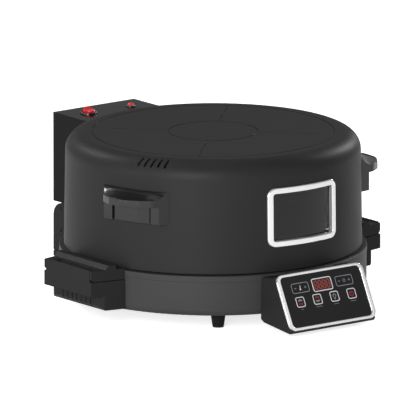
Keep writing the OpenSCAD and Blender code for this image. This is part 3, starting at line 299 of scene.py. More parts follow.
def reflector_sheet():
    # Mill-finish aluminium: rolling lines of about 0.5 mm along X, drawn 1 mm wide
    return finish("rolled_aluminium", linear("#c6c7c9"), 0.3, metallic=1.0, grain=1.0,
                  bump=0.12, depth=0.03, stretch=(0.04, 1, 1), mottle=35, spread=0.08,
                  shade=0.08)


def zinc_plate():
    # Zinc-plated steel: cool grey with cloudy bright patches of about a centimetre
    return finish("zinc_plated_steel", linear("#aeb2b8"), 0.34, metallic=1.0, grain=0.7,
                  bump=0.08, depth=0.03, mottle=9, spread=0.12, shade=0.12)


def black_oxide():
    # Black-oxide screws: dark metal with a thin oil gloss
    return finish("black_oxide_steel", linear("#2a2a2c"), 0.36, metallic=0.8, grain=0.6,
                  bump=0.1, depth=0.03, mottle=4, spread=0.1, shade=0.15)


def cast_aluminium():
    # Pressure-cast aluminium: fine pebbled skin of about 0.6 mm
    return finish("cast_aluminium", linear("#a9abae"), 0.42, metallic=1.0, grain=0.8,
                  bump=0.25, depth=0.05, mottle=14, spread=0.08, shade=0.1)


def heater_sheath():
    # Sheath of a tubular heater after use: dull oxide with straw and brown heat tints
    return finish("oxidised_heater_sheath", linear("#5c554e"), 0.48, metallic=0.85,
                  grain=0.6, bump=0.15, depth=0.04, mottle=22, spread=0.1, shade=0.2,
                  alt=linear("#6d5236"), alt_size=26, alt_share=0.35)


def bronze():
    # Oil-filled sintered bronze: porous warm metal
    return finish("sintered_bronze", linear("#a8773c"), 0.45, metallic=1.0, grain=0.5,
                  bump=0.35, depth=0.05, mottle=3, spread=0.08, shade=0.15)


def cordierite():
    # Pressed and fired cordierite: sandy, matt, with darker grog grains of 1 to 2 mm
    return finish("fired_cordierite", linear("#c2ab86"), 0.88, grain=0.9, bump=0.5,
                  depth=0.25, mottle=45, spread=0.05, shade=0.1, alt=linear("#9c8463"),
                  alt_size=1.6, alt_share=0.3)


def steatite():
    # Glazed steatite lamp holder: warm white, smooth and slightly wavy
    return finish("glazed_steatite", linear("#e8e3d6"), 0.18, grain=4.0, bump=0.05,
                  depth=0.06, mottle=12, spread=0.04, shade=0.04)


def rubber():
    # Nitrile pads: dull, finely pitted
    return finish("nitrile_rubber", linear("#151515"), 0.75, grain=0.6, bump=0.3,
                  depth=0.05, mottle=5, spread=0.08, shade=0.12)


def board_laminate():
    # Glass-epoxy board under green resist, with the weave's 0.5 mm grid just showing
    return finish("green_resist_laminate", linear("#1e6a42"), 0.3, grain=0.5, bump=0.1,
                  depth=0.03, mottle=6, spread=0.05, shade=0.12)


def fascia_film():
    # Black polycarbonate overlay with a fine satin print side
    return finish("black_polycarbonate_overlay", linear("#212122"), 0.3, grain=0.8,
                  bump=0.04, depth=0.02, mottle=30, spread=0.04, shade=0.05, edge=0.15,
                  specular=0.15)


def display_filter():
    # Deep red acrylic over the unlit display
    return finish("red_acrylic_filter", linear("#3a0f10"), 0.12, grain=6, bump=0.02,
                  depth=0.02, mottle=10, spread=0.03, shade=0.1, edge=0.1)


def ink(name, code):
    # Screen-printed ink: flat and matt, with 0.4 mm mesh marks
    return finish(name, linear(code), 0.5, grain=0.4, bump=0.1, depth=0.01, mottle=2,
                  spread=0.05, shade=0.05, edge=0.02)


def lit_segments():
    # Light-emitting segments behind the filter, turned low
    return finish("lit_segments", colours().digits, 0.4, grain=0.4, bump=0.02, mottle=12,
                  shade=0.2, edge=0.02, glow=0.25)


def red_lens():
    # Clear-red polycarbonate over a neon lamp: glossy, and lit through its depth
    return finish("translucent_red_polycarbonate", colours().rocker, 0.1, ior=1.58,
                  grain=5, bump=0.02, depth=0.03, mottle=5, spread=0.03, shade=0.12,
                  edge=0.4, coat=0.5, transmission=0.15, glow=0.12)


def window_glass():
    # Tinted heat-resistant glass: two passes of a brown tint leave the oven almost black
    return finish("tinted_borosilicate", linear("#2a1d18"), 0.03, ior=1.47, grain=30,
                  bump=0.02, depth=0.05, mottle=60, spread=0.01, shade=0.03, edge=0.2,
                  transmission=1.0)


def clear_glass():
    # Clear glass of the oven lamp, faintly hazed by heat
    return finish("clear_lamp_glass", linear("#f2f0ea"), 0.06, ior=1.47, grain=12,
                  bump=0.02, depth=0.03, mottle=10, spread=0.03, shade=0.03,
                  transmission=1.0)


# ---- meshes ----------------------------------------------------------------------------

def slot_of(node):
    """The record's material slot of a CAD node."""
    for row in frame["record"]["subparts"]:
        if row["node"] == node:
            return row["material_slot"]
    raise ValueError(f"{node} has no slot")


def link(name, mesh, material, body, node, stands_in):
    """Puts a mesh on its CAD body, and in its place if it stands in; the node's slot is only
    looked up.
    """
    made = bpy.data.objects.new(name, mesh)
    bpy.context.scene.collection.objects.link(made)
    made.data.materials.append(material)
    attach(made, body)
    if stands_in:
        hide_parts(node)
    slot_of(node)
    return made


def smooth(made, angle, weighted=True):
    """Smooth shading up to an edge angle, with flat faces kept flat."""
    made.data.shade_smooth()
    made.data.set_sharp_from_angle(angle=math.radians(angle))
    if weighted:
        modifier = made.modifiers.new("weighted normals", "WEIGHTED_NORMAL")
        modifier.keep_sharp = True
    return made


def piece(name, shape, material, body, node, stands_in=True, angle=35.0, weighted=True):
    """A piece from vertices in millimetres and faces."""
    verts, faces = shape
    mesh = bpy.data.meshes.new(name)
    mesh.from_pydata([Vector(v) * MM for v in verts], [], faces)
    bm = bmesh.new()
    bm.from_mesh(mesh)
    bmesh.ops.recalc_face_normals(bm, faces=bm.faces)
    bm.to_mesh(mesh)
    bm.free()
    return smooth(link(name, mesh, material, body, node, stands_in), angle, weighted)


def eased(node, material, width):
    """The CAD node's form with its sharp edges rounded by width mm, in place of the node."""
    source = NODES[node]
    name = node + "_eased"
    mesh = bpy.data.meshes.new(name)
    bm = bmesh.new()
    bm.from_mesh(source.data)
    bmesh.ops.remove_doubles(bm, verts=bm.verts, dist=WELD)
    bmesh.ops.dissolve_limit(bm, angle_limit=FLAT, verts=bm.verts, edges=bm.edges)
    sharp = [e for e in bm.edges
             if len(e.link_faces) == 2 and e.calc_face_angle(0.0) > SHARP]
    bmesh.ops.bevel(bm, geom=sharp, offset=width * MM, offset_type="OFFSET", segments=2,
                    profile=0.5, affect="EDGES", clamp_overlap=True, miter_outer="SHARP",
                    miter_inner="SHARP", loop_slide=True)
    bm.to_mesh(mesh)
    bm.free()
    return smooth(link(name, mesh, material, source["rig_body"], node, True), 40.0)


def dress(material, *nodes):
    """Gives CAD nodes that stay as they are their finish."""
    for node in nodes:
        target = NODES[node].data
        target.materials.clear()
        target.materials.append(material)


def radians(*degrees):
    return [math.radians(v) for v in degrees]


def arc(cx, cy, r, a0, a1, n):
    """Points of an arc, degrees, both ends included."""
    return [(cx + r * math.cos(math.radians(a0 + (a1 - a0) * i / n)),
             cy + r * math.sin(math.radians(a0 + (a1 - a0) * i / n))) for i in range(n + 1)]


def round_rect(w, h, r, corner, side=1):
    """Outline of a rectangle with round corners, anticlockwise, sides cut into pieces."""
    loop = []
    for x, y, a in ((1, 1, 0), (-1, 1, 90), (-1, -1, 180), (1, -1, 270)):
        loop += arc(x * (w / 2 - r), y * (h / 2 - r), r, a, a + 90, corner)
    dense = []
    for i, p in enumerate(loop):
        q = loop[(i + 1) % len(loop)]
        parts = side if (i + 1) % (corner + 1) == 0 else 1
        dense += [(p[0] + (q[0] - p[0]) * k / parts, p[1] + (q[1] - p[1]) * k / parts)
                  for k in range(parts)]
    return dense


def loft(loops, ring=False):
    """Vertices and faces that join equal loops, the last to the first if it is a ring."""
    n = len(loops[0])
    verts = [p for loop in loops for p in loop]
    faces = []
    last = len(loops) if ring else len(loops) - 1
    for i in range(last):
        a, b = i * n, (i + 1) % len(loops) * n
        faces += [(a + k, a + (k + 1) % n, b + (k + 1) % n, b + k) for k in range(n)]
    if not ring:
        faces += [tuple(range(n)), tuple(reversed(range(last * n, (last + 1) * n)))]
    return verts, faces


def merge(*shapes):
    """Joins vertex and face lists."""
    verts, faces = [], []
    for v, f in shapes:
        faces += [tuple(i + len(verts) for i in face) for face in f]
        verts += v
    return verts, faces


# ---- the enamelled shells --------------------------------------------------------------

class MESH_OT_pizza_shells(bpy.types.Operator):
    """Finishes the lid's shell, the base pan, its ring and its bottom cover"""
    bl_idname = "mesh.pizza_shells"
    bl_label = "Enamelled shells"

    def execute(self, context):
        dress(lid_enamel(), "lid_shell")
        dress(base_enamel(), "base_pan", "base_ring", "bottom_cover")
        return {"FINISHED"}


# ---- window ----------------------------------------------------------------------------

class MESH_OT_pizza_window(bpy.types.Operator):
    """Builds the window's polished bezel and a gasket that is partly painted shade, and
    finishes its glass and frame
    """
    bl_idname = "mesh.pizza_window"
    bl_label = "Window"

    def execute(self, context):
        lo, hi = mm_box("window_bezel")
        shell_lo, shell_hi = mm_box("lid_shell")
        band, proud = in_mm("window_band"), in_mm("window_proud")
        open_w, open_h = hi.x - lo.x - 2 * band, hi.z - lo.z - 2 * band
        mid_z = (lo.z + hi.z) / 2
        inner_corner = 3.0

        def on_lid(x, z, out):
            r = shell_hi.x - (z + mid_z - shell_lo.z) * LID_CONE + out
            return (x, -math.sqrt(r * r - x * x), z + mid_z)

        def frame_round(profile):
            """A closed profile of (distance from the opening, height) run round it."""
            return loft([[on_lid(x, z, out) for x, z in
                          round_rect(open_w + 2 * a, open_h + 2 * a, inner_corner + a, 8, 14)]
                         for a, out in profile], ring=True)

        crown = 1.3         # radius of the bezel's crowned edges
        flange = 2.0        # width of the flange that goes through the shell
        flange_end = -3.6   # where the flange ends, behind the shell's face
        seat = 0.15         # gap under the band
        bezel = [(0.0, flange_end), (0.0, proud - crown)]
        bezel += [(crown - crown * math.cos(a), proud - crown + crown * math.sin(a))
                  for a in radians(22, 45, 68, 90)]
        bezel += [(band - crown + crown * math.sin(a), proud - crown + crown * math.cos(a))
                  for a in radians(0, 22, 45, 68, 90)]
        bezel += [(band, seat), (flange, seat), (flange, flange_end)]
        piece("window_bezel_polished", frame_round(bezel), chrome(), "lid", "window_bezel",
              angle=50)
        # a low lip of rubber that shows 1 mm outside the band: a dark line that is partly
        # painted shade, standing in for the shadow along the bezel's edge
        gasket_and_shade_line = [(band + a, out) for a, out in
                  ((-0.4, 0.02), (-0.4, 0.5), (0.6, 0.5), (0.9, 0.3), (1.0, 0.02))]
        piece("window_gasket_painted_shade", frame_round(gasket_and_shade_line), rubber(), "lid", "window_frame",
              stands_in=False, angle=50)
        dress(window_glass(), "window_glass")
        dress(satin_moulding(), "window_frame")
        return {"FINISHED"}


# ---- handles ---------------------------------------------------------------------------

class MESH_OT_pizza_handles(bpy.types.Operator):
    """Builds the two lid handles with facets, dished tops and rounded moulded edges"""
    bl_idname = "mesh.pizza_handles"
    bl_label = "Lid handles"

    # millimetres, as in the CAD nodes: half the lip's width, how far its ends and its
    # middle stand out of the lid, and the heights of lip and rim over the foot's underside
    half, tip, reach = 37.8, 11.7, 28.0
    lip_height, rim_height = 23.5, 33.3
    flare = math.tan(math.radians(27.3))
    # ends of the rim's flat facets, as shares of half its bow
    facets = (-1, -0.9, -0.56, -0.1, 0.1, 0.56, 0.9, 1)
    # plan of the foot as (across, out): three facets between slits and cheeks
    foot = ((-41, 5.5), (-28.6, 5.5), (-28.5, 1.5), (-25.5, 1.5), (-25.4, 3.7), (-9, 5.5),
            (9, 5.5), (25.4, 3.7), (25.5, 1.5), (28.5, 1.5), (28.6, 5.5), (41, 5.5))

    def execute(self, context):
        for node, turn in (("handle_left", -1), ("handle_right", 1)):
            self.build(node, turn * sizes().handle_angle)
        return {"FINISHED"}

    @staticmethod
    def along(line, x):
        """Height at x of a line through points."""
        for (x0, y0), (x1, y1) in zip(line, line[1:]):
            if x <= x1:
                return y0 + (y1 - y0) * max(x - x0, 0) / (x1 - x0)
        return line[-1][1]

    def spread(self, share, out):
        """Distance from the handle's middle: its flanks flare towards the lid."""
        return share * (self.half + max(self.tip - out, 0) * self.flare)

    def wall(self, share, z, shell_lo, shell_hi):
        """How far out of its largest radius the lid's cone lies, with a hair of room."""
        room = 0.02
        r = shell_hi.x - (z - shell_lo.z) * LID_CONE + room
        out = 0.0
        for _ in range(4):
            out = math.sqrt(r * r - self.spread(share, out) ** 2) - shell_hi.x
        return out

    def section(self, share, low, high, shell, rim_line):
        """Section at a share of the width: over the top, down rim and foot, up the wall."""
        rim = self.along(rim_line, share * self.half)
        stem = self.along(self.foot, share * self.foot[-1][0])
        lip, rim_top = low + self.lip_height, low + self.rim_height
        back = self.wall(share, high, *shell)
        ledge_deep, ledge_gain = 3.6, 2.0   # flat strip at the wall, and more at the flanks
        bead, dish = 2.6, 4.4               # width of the rim's bead, hollow of the top
        ledge = back + ledge_deep + ledge_gain * abs(share)
        span = rim - bead - ledge
        start, finish_height = high - 1.8, rim_top - 0.9
        fall = finish_height - start
        points = [(back, high - 0.5), (back + 0.5, high), (ledge - 1.2, high),
                  (ledge - 0.4, high - 0.35), (ledge, high - 1.2)]
        points += [(ledge + span * k, start + fall * k - dish * k * (1 - k))
                   for k in (0.04, 0.15, 0.3, 0.45, 0.6, 0.75, 0.88, 0.97)]
        points += [(rim - 2.2, rim_top - 0.25), (rim - 1.5, rim_top + 0.1),
                   (rim - 0.7, rim_top), (rim - 0.15, rim_top - 0.45),
                   (rim, rim_top - 1.1), (rim, lip + 0.5), (rim - 0.15, lip + 0.15),
                   (rim - 0.5, lip), (stem + 0.6, lip), (stem + 0.1, lip - 0.3),
                   (stem, lip - 0.8), (stem, low + 0.8), (stem - 0.25, low + 0.2),
                   (stem - 0.8, low)]
        return points + [(self.wall(share, low, *shell), low),
                         (self.wall(share, lip, *shell), lip)]

    def build(self, node, turn):
        shell = mm_box("lid_shell")
        low, high = mm_box(node)
        bow = self.reach - self.tip
        bow_r = (self.half ** 2 + bow ** 2) / (2 * bow)
        end = math.asin(self.half / bow_r)
        rim_line = [(bow_r * math.sin(k * end), self.reach - bow_r * (1 - math.cos(k * end)))
                    for k in self.facets]
        creases = [x / self.half for x, _ in rim_line]
        creases += [x / self.foot[-1][0] for x, _ in self.foot]
        stops = sorted({round(v, 5) for v in creases + [i / 14 for i in range(-14, 15)]})
        turned = Matrix.Rotation(turn, 3, "Z")
        loops = [[turned @ Vector((self.spread(share, out), -shell[1].x - out, z))
                  for out, z in self.section(share, low.z, high.z, shell, rim_line)]
                 for share in stops]
        made = piece(node + "_moulded", loft(loops), phenolic(), "lid", node, angle=38)
        # the facets of rim and foot meet in crisp edges, from the rim's bead down
        n, bead = len(loops[0]), 13
        crisp = {stops.index(round(v, 5)) for v in creases}
        for edge in made.data.edges:
            a, b = edge.vertices
            if a // n == b // n and a // n in crisp and min(a % n, b % n) >= bead:
                edge.use_edge_sharp = True


# ---- hinge box and metalwork -----------------------------------------------------------

class MESH_OT_pizza_hinge(bpy.types.Operator):
    """Builds the glossy box on the lid and finishes the hinge's metalwork"""
    bl_idname = "mesh.pizza_hinge"
    bl_label = "Hinge box and arms"

    def execute(self, context):
        eased("hinge_box", polished_abs(), in_mm("box_edge"))
        dress(zinc_plate(), "hinge_plate", "hinge_arm_left", "hinge_arm_right",
              "hinge_spacers", "hinge_bracket", "hinge_pin")
        return {"FINISHED"}


# ---- switch and lamps ------------------------------------------------------------------

class MESH_OT_pizza_switch(bpy.types.Operator):
    """Builds the rocker, and finishes the signal lamp, their rings and the oven lamp"""
    bl_idname = "mesh.pizza_switch"
    bl_label = "Switch and lamps"

    def execute(self, context):
        self.rocker()
        dress(red_lens(), "pilot_lens")
        dress(black_nickel(), "switch_bezel", "pilot_bezel")
        dress(clear_glass(), "oven_lamp_lens", "oven_lamp_bulb")
        dress(steatite(), "oven_lamp_holder")
        return {"FINISHED"}

    def rocker(self):
        _, ring_hi = mm_box("switch_bezel")
        joint = next(j for j in frame["joints"] if j["name"] == "power_rocker_tilt")
        pivot = Vector(joint["pos_m"]) / MM
        lean = Matrix.Rotation(sizes().rocker_tilt, 3, "X")
        radius, edge = 7.8, 0.9
        middle, rise = 5.7, 1.5     # height over the pivot, and what both ends add to it
        soft = 0.6                  # rounds the fold between the two faces
        pin_r, pin_gap = 1.2, 1.6   # the pin ends this far inside the ring's outside

        def crown(y):
            return middle + rise * math.sqrt(y * y + soft) / radius

        # (radius, depth under the crown or None, height where there is no crown)
        rows = [(radius - 0.6, None, -2.0), (radius, None, -1.2), (radius, 1.0, 0)]
        rows += [(radius - edge * (1 - math.cos(a)), edge * (1 - math.sin(a)), 0)
                 for a in radians(20, 45, 70, 90)]
        rows += [(r, 0.0, 0) for r in (5.6, 4.2, 2.8, 1.4, 0.1)]
        cap = [[lean @ Vector((x, y, height if sink is None else crown(y) - sink)) + pivot
                for x, y in arc(0, 0, r, 0, 360, 48)[:-1]] for r, sink, height in rows]
        reach = ring_hi.x - pivot.x - pin_gap
        pin = [[lean @ Vector((x, y, z)) + pivot
                for y, z in arc(0, 0, pin_r, 0, 360, 16)[:-1]] for x in (-reach, reach)]
        piece("power_rocker_cap", merge(loft(cap), loft(pin)), red_lens(), "rocker",
              "power_rocker", angle=40)


# ---- oven ------------------------------------------------------------------------------

class MESH_OT_pizza_oven(bpy.types.Operator):
    """Finishes the reflectors, the heating elements and their carriers"""
    bl_idname = "mesh.pizza_oven"
    bl_label = "Reflectors and elements"

    def execute(self, context):
        dress(reflector_sheet(), "lid_liner", "base_reflector")
        dress(heater_sheath(), "upper_element", "lower_element")
        dress(zinc_plate(), "upper_element_clips", "lower_element_posts",
              "temperature_probe")
        return {"FINISHED"}


class MESH_OT_pizza_stone(bpy.types.Operator):
    """Finishes the turning stone, its carrier and the drive"""
    bl_idname = "mesh.pizza_stone"
    bl_label = "Stone and drive"

    def execute(self, context):
        dress(cordierite(), "pizza_stone")
        dress(cast_aluminium(), "stone_carrier")
        dress(zinc_plate(), "drive_shaft", "drive_motor", "motor_bracket")
        dress(bronze(), "shaft_bush")
        return {"FINISHED"}


# ---- base ------------------------------------------------------------------------------

class MESH_OT_pizza_feet(bpy.types.Operator):
    """Builds the conical feet and finishes their pads"""
    bl_idname = "mesh.pizza_feet"
    bl_label = "Feet"

    def execute(self, context):
        for corner in ("front_left", "front_right", "rear_left", "rear_right"):
            eased("foot_" + corner, matt_moulding(), in_mm("foot_edge"))
        dress(rubber(), "foot_pads")
        return {"FINISHED"}


class MESH_OT_pizza_grips(bpy.types.Operator):
    """Builds the side grips and their covers with rounded moulded edges"""
    bl_idname = "mesh.pizza_grips"
    bl_label = "Side grips"

    def execute(self, context):
        for side in ("left", "right"):
            for part in ("grip_", "grip_cover_"):
                eased(part + side, satin_moulding(), in_mm("grip_edge"))
        return {"FINISHED"}


# ---- control panel ---------------------------------------------------------------------

def stroke(points, width, closed):
    """The two sides of a line of the given width through points."""
    left, right = [], []
    n = len(points)
    for i, p in enumerate(points):
        before = points[i - 1] if i or closed else p
        after = points[(i + 1) % n] if i < n - 1 or closed else p
        d = Vector((after[0] - before[0], after[1] - before[1])).normalized()
        side = Vector((-d.y, d.x)) * width / 2
        left.append((p[0] + side.x, p[1] + side.y))
        right.append((p[0] - side.x, p[1] - side.y))
    return left, right


def inked_line(points, width, place, n0, n1, closed=False):
    """A printed line as a thin raised strip."""
    left, right = stroke(points, width, closed)
    loops = [[place(x, y, n) for x, y in side]
             for side, n in ((left, n0), (left, n1), (right, n1), (right, n0))]
    return loft([[loop[i] for loop in loops] for i in range(len(points))], ring=closed)


def panel_place():
    """Maps panel coordinates, from the overlay's middle, to the part's frame in mm."""
    lean = sizes().panel_lean
    up = Vector((0, math.sin(lean), math.cos(lean)))
    out = Vector((0, -math.cos(lean), math.sin(lean)))
    lo, hi = mm_box("control_fascia")
    middle = (lo + hi) / 2

    def place(x, y, n):
        return tuple(middle + Vector((x, 0, 0)) + up * y + out * n)
    return place


class MESH_OT_pizza_panel(bpy.types.Operator):
    """Builds the control panel: housing, bezel, overlay, print and display"""
    bl_idname = "mesh.pizza_panel"
    bl_label = "Control panel"

    # millimetres, from the middle of the overlay and its face
    fascia_thick = 2.0
    ink_sunk, ink_proud = 0.02, 0.1             # thicker than real ink, so that it shows
    row_up, row_down = 17.0, -1.2               # heights of the display and the key row
    key_pitch, key_size, key_line = 27.3, 13.6, 1.05
    display_size, display_line = (31.4, 17.4), 1.15
    setter_x, setter_size, setter_line = 35.1, (27.2, 13.2), 0.75
    frame_corner = 2.3
    digit_w, digit_h, digit_pitch, segment = 4.5, 10.2, 6.5, 1.0
    digit_depth = 0.3

    def execute(self, context):
        place = panel_place()
        face = self.fascia_thick / 2
        self.bezel(place)
        eased("control_housing", satin_moulding(), in_mm("panel_edge"))
        dress(fascia_film(), "control_fascia")
        dress(display_filter(), "display_module")
        dress(board_laminate(), "control_board")
        self.print_overlay(place, face)
        self.light_digits(place, face - self.digit_depth)
        return {"FINISHED"}

    def bezel(self, place):
        lo, hi = mm_box("control_fascia")
        lean = sizes().panel_lean
        fit = 0.4           # the opening is this much larger than the overlay
        open_w = hi.x - lo.x + fit
        open_h = ((hi.z - lo.z) - self.fascia_thick * math.sin(lean)) / math.cos(lean) + fit
        side, end, proud = in_mm("panel_side"), in_mm("panel_end"), in_mm("panel_proud")
        crown = 0.9         # radius of the crowned edges
        inner_corner, corner_gain = 6, 4
        # (share of the band from its inner edge, millimetres from that edge, height)
        section = [(0, 0, 0), (0, 0, proud - crown)]
        section += [(0, crown * (1 - math.cos(a)), proud - crown + crown * math.sin(a))
                    for a in radians(30, 60, 90)]
        section += [(1, -crown * (1 - math.sin(a)), proud - crown + crown * math.cos(a))
                    for a in radians(0, 30, 60, 90)]
        section += [(1, 0, 0)]
        loops = []
        for share, step, n in section:
            w = open_w + 2 * (share * side + step)
            h = open_h + 2 * (share * end + step)
            r = inner_corner + share * corner_gain + step
            loops.append([place(x, y, n) for x, y in round_rect(w, h, r, 8)])
        piece("control_bezel_polished", loft(loops, ring=True), chrome(), "base",
              "control_bezel", angle=50)

    def print_overlay(self, place, face):
        n0, n1 = face - self.ink_sunk, face + self.ink_proud
        white, grey, dim, red = [], [], [], []

        def frame_line(into, cx, cy, w, h, width):
            outline = round_rect(w - width, h - width, self.frame_corner, 5)
            into.append(inked_line([(x + cx, y + cy) for x, y in outline], width, place,
                                   n0, n1, True))

        def bar(into, x0, y0, x1, y1, width):
            into.append(inked_line([(x0, y0), (x1, y1)], width, place, n0, n1))

        def loop(into, cx, cy, r, width, a0=0.0, a1=360.0):
            closed = a1 - a0 >= 360
            points = arc(cx, cy, r, a0, a1, 20)
            into.append(inked_line(points[:-1] if closed else points, width, place, n0, n1,
                                   closed))

        y = self.row_up
        frame_line(white, 0, y, *self.display_size, self.display_line)
        for side in (-1, 1):
            frame_line(grey, side * self.setter_x, y, *self.setter_size, self.setter_line)
        keys = [(i - 1.5) * self.key_pitch for i in range(4)]
        for x in keys:
            frame_line(white, x, self.row_down, self.key_size, self.key_size, self.key_line)
        # minus, thermometer and plus; minus, clock and plus
        for side in (-1, 1):
            x = side * self.setter_x
            bar(grey, x - 9.3, y, x - 6.5, y, 0.9)
            bar(grey, x + 6.5, y, x + 9.3, y, 0.8)
            bar(grey, x + 7.9, y - 1.4, x + 7.9, y + 1.4, 0.8)
            if side < 0:
                bar(white, x - 0.3, y - 1.6, x + 0.3, y + 3.0, 0.9)
                loop(white, x - 0.4, y - 2.1, 0.6, 1.1)
            else:
                loop(grey, x, y, 1.9, 0.5)
                bar(grey, x, y, x, y + 1.2, 0.4)
                bar(grey, x, y, x + 0.9, y, 0.4)
        # heat from below, heat from above, lamp and power
        y = self.row_down
        for x, s in ((keys[0], 1), (keys[1], -1)):
            bar(grey, x - 3.2, y + s * 1.9, x + 3.2, y + s * 1.9, 1.3)
            bar(grey, x - 1.6, y + s * 3.3, x + 1.6, y + s * 3.3, 0.7)
            for k in (-1, 0, 1):
                wave = [(x + k * 2.2 + 0.45 * math.sin(t * 1.6), y - s * (0.9 + t * 0.62))
                        for t in range(6)]
                red.append(inked_line(wave, 0.9, place, n0, n1))
        loop(grey, keys[2], y + 0.9, 2.2, 0.9, -50, 230)
        bar(grey, keys[2] - 1.2, y - 2.2, keys[2] + 1.2, y - 2.2, 1.3)
        bar(grey, keys[2] - 0.8, y - 3.7, keys[2] + 0.8, y - 3.7, 0.9)
        loop(red, keys[3], y - 0.3, 2.8, 1.1, -240, 60)
        bar(red, keys[3], y + 0.2, keys[3], y + 3.6, 1.1)
        # plain rules under the keys
        for x, half in zip(keys, (1.6, 5.0, 4.0, 4.6)):
            bar(dim, x - half, y - 9.6, x + half, y - 9.6, 0.8)
        for name, shapes, material in (
                ("overlay_print_white", white, ink("white_screen_ink", "#dededf")),
                ("overlay_print_rules", dim, ink("dark_grey_screen_ink", "#6c6c70")),
                ("overlay_print_grey", grey, ink("grey_screen_ink", "#8f8f94")),
                ("overlay_print_red", red, ink("red_screen_ink", "#9a2c33"))):
            piece(name, merge(*shapes), material, "base", "control_fascia",
                  stands_in=False, weighted=False)

    def light_digits(self, place, base):
        """Four eights of seven segments each."""
        w, h = self.digit_w / 2, self.digit_h / 2
        short = 0.75        # how far each segment ends before its corner
        y = self.row_up
        lit = []
        for k in range(4):
            x = (k - 1.5) * self.digit_pitch
            for x0, y0, x1, y1 in ((-w, h, w, h), (-w, 0, w, 0), (-w, -h, w, -h),
                                   (-w, 0, -w, h), (w, 0, w, h), (-w, -h, -w, 0),
                                   (w, -h, w, 0)):
                d = Vector((x1 - x0, y1 - y0)).normalized() * short
                lit.append(inked_line([(x + x0 + d.x, y + y0 + d.y),
                                       (x + x1 - d.x, y + y1 - d.y)], self.segment, place,
                                      base - 0.05, base + 0.12))
        piece("display_digits", merge(*lit), lit_segments(), "base", "display_module",
              stands_in=False, weighted=False)


# ---- rear housing ----------------------------------------------------------------------

class MESH_OT_pizza_rear(bpy.types.Operator):
    """Builds the rear housing and base and finishes the mains inlet"""
    bl_idname = "mesh.pizza_rear"
    bl_label = "Rear housing and inlet"

    def execute(self, context):
        eased("rear_housing", satin_moulding(), in_mm("grip_edge"))
        eased("rear_base", satin_moulding(), in_mm("foot_edge"))
        dress(matt_moulding(), "power_inlet")
        return {"FINISHED"}


class MESH_OT_pizza_screws(bpy.types.Operator):
    """Finishes the screws"""
    bl_idname = "mesh.pizza_screws"
    bl_label = "Screws"

    def execute(self, context):
        dress(zinc_plate(), "handle_screws", "hinge_screws", "foot_screws", "pan_screws",
              "cover_screws", "inlet_screws")
        dress(black_oxide(), "housing_screws")
        return {"FINISHED"}


# ---- stage -----------------------------------------------------------------------------

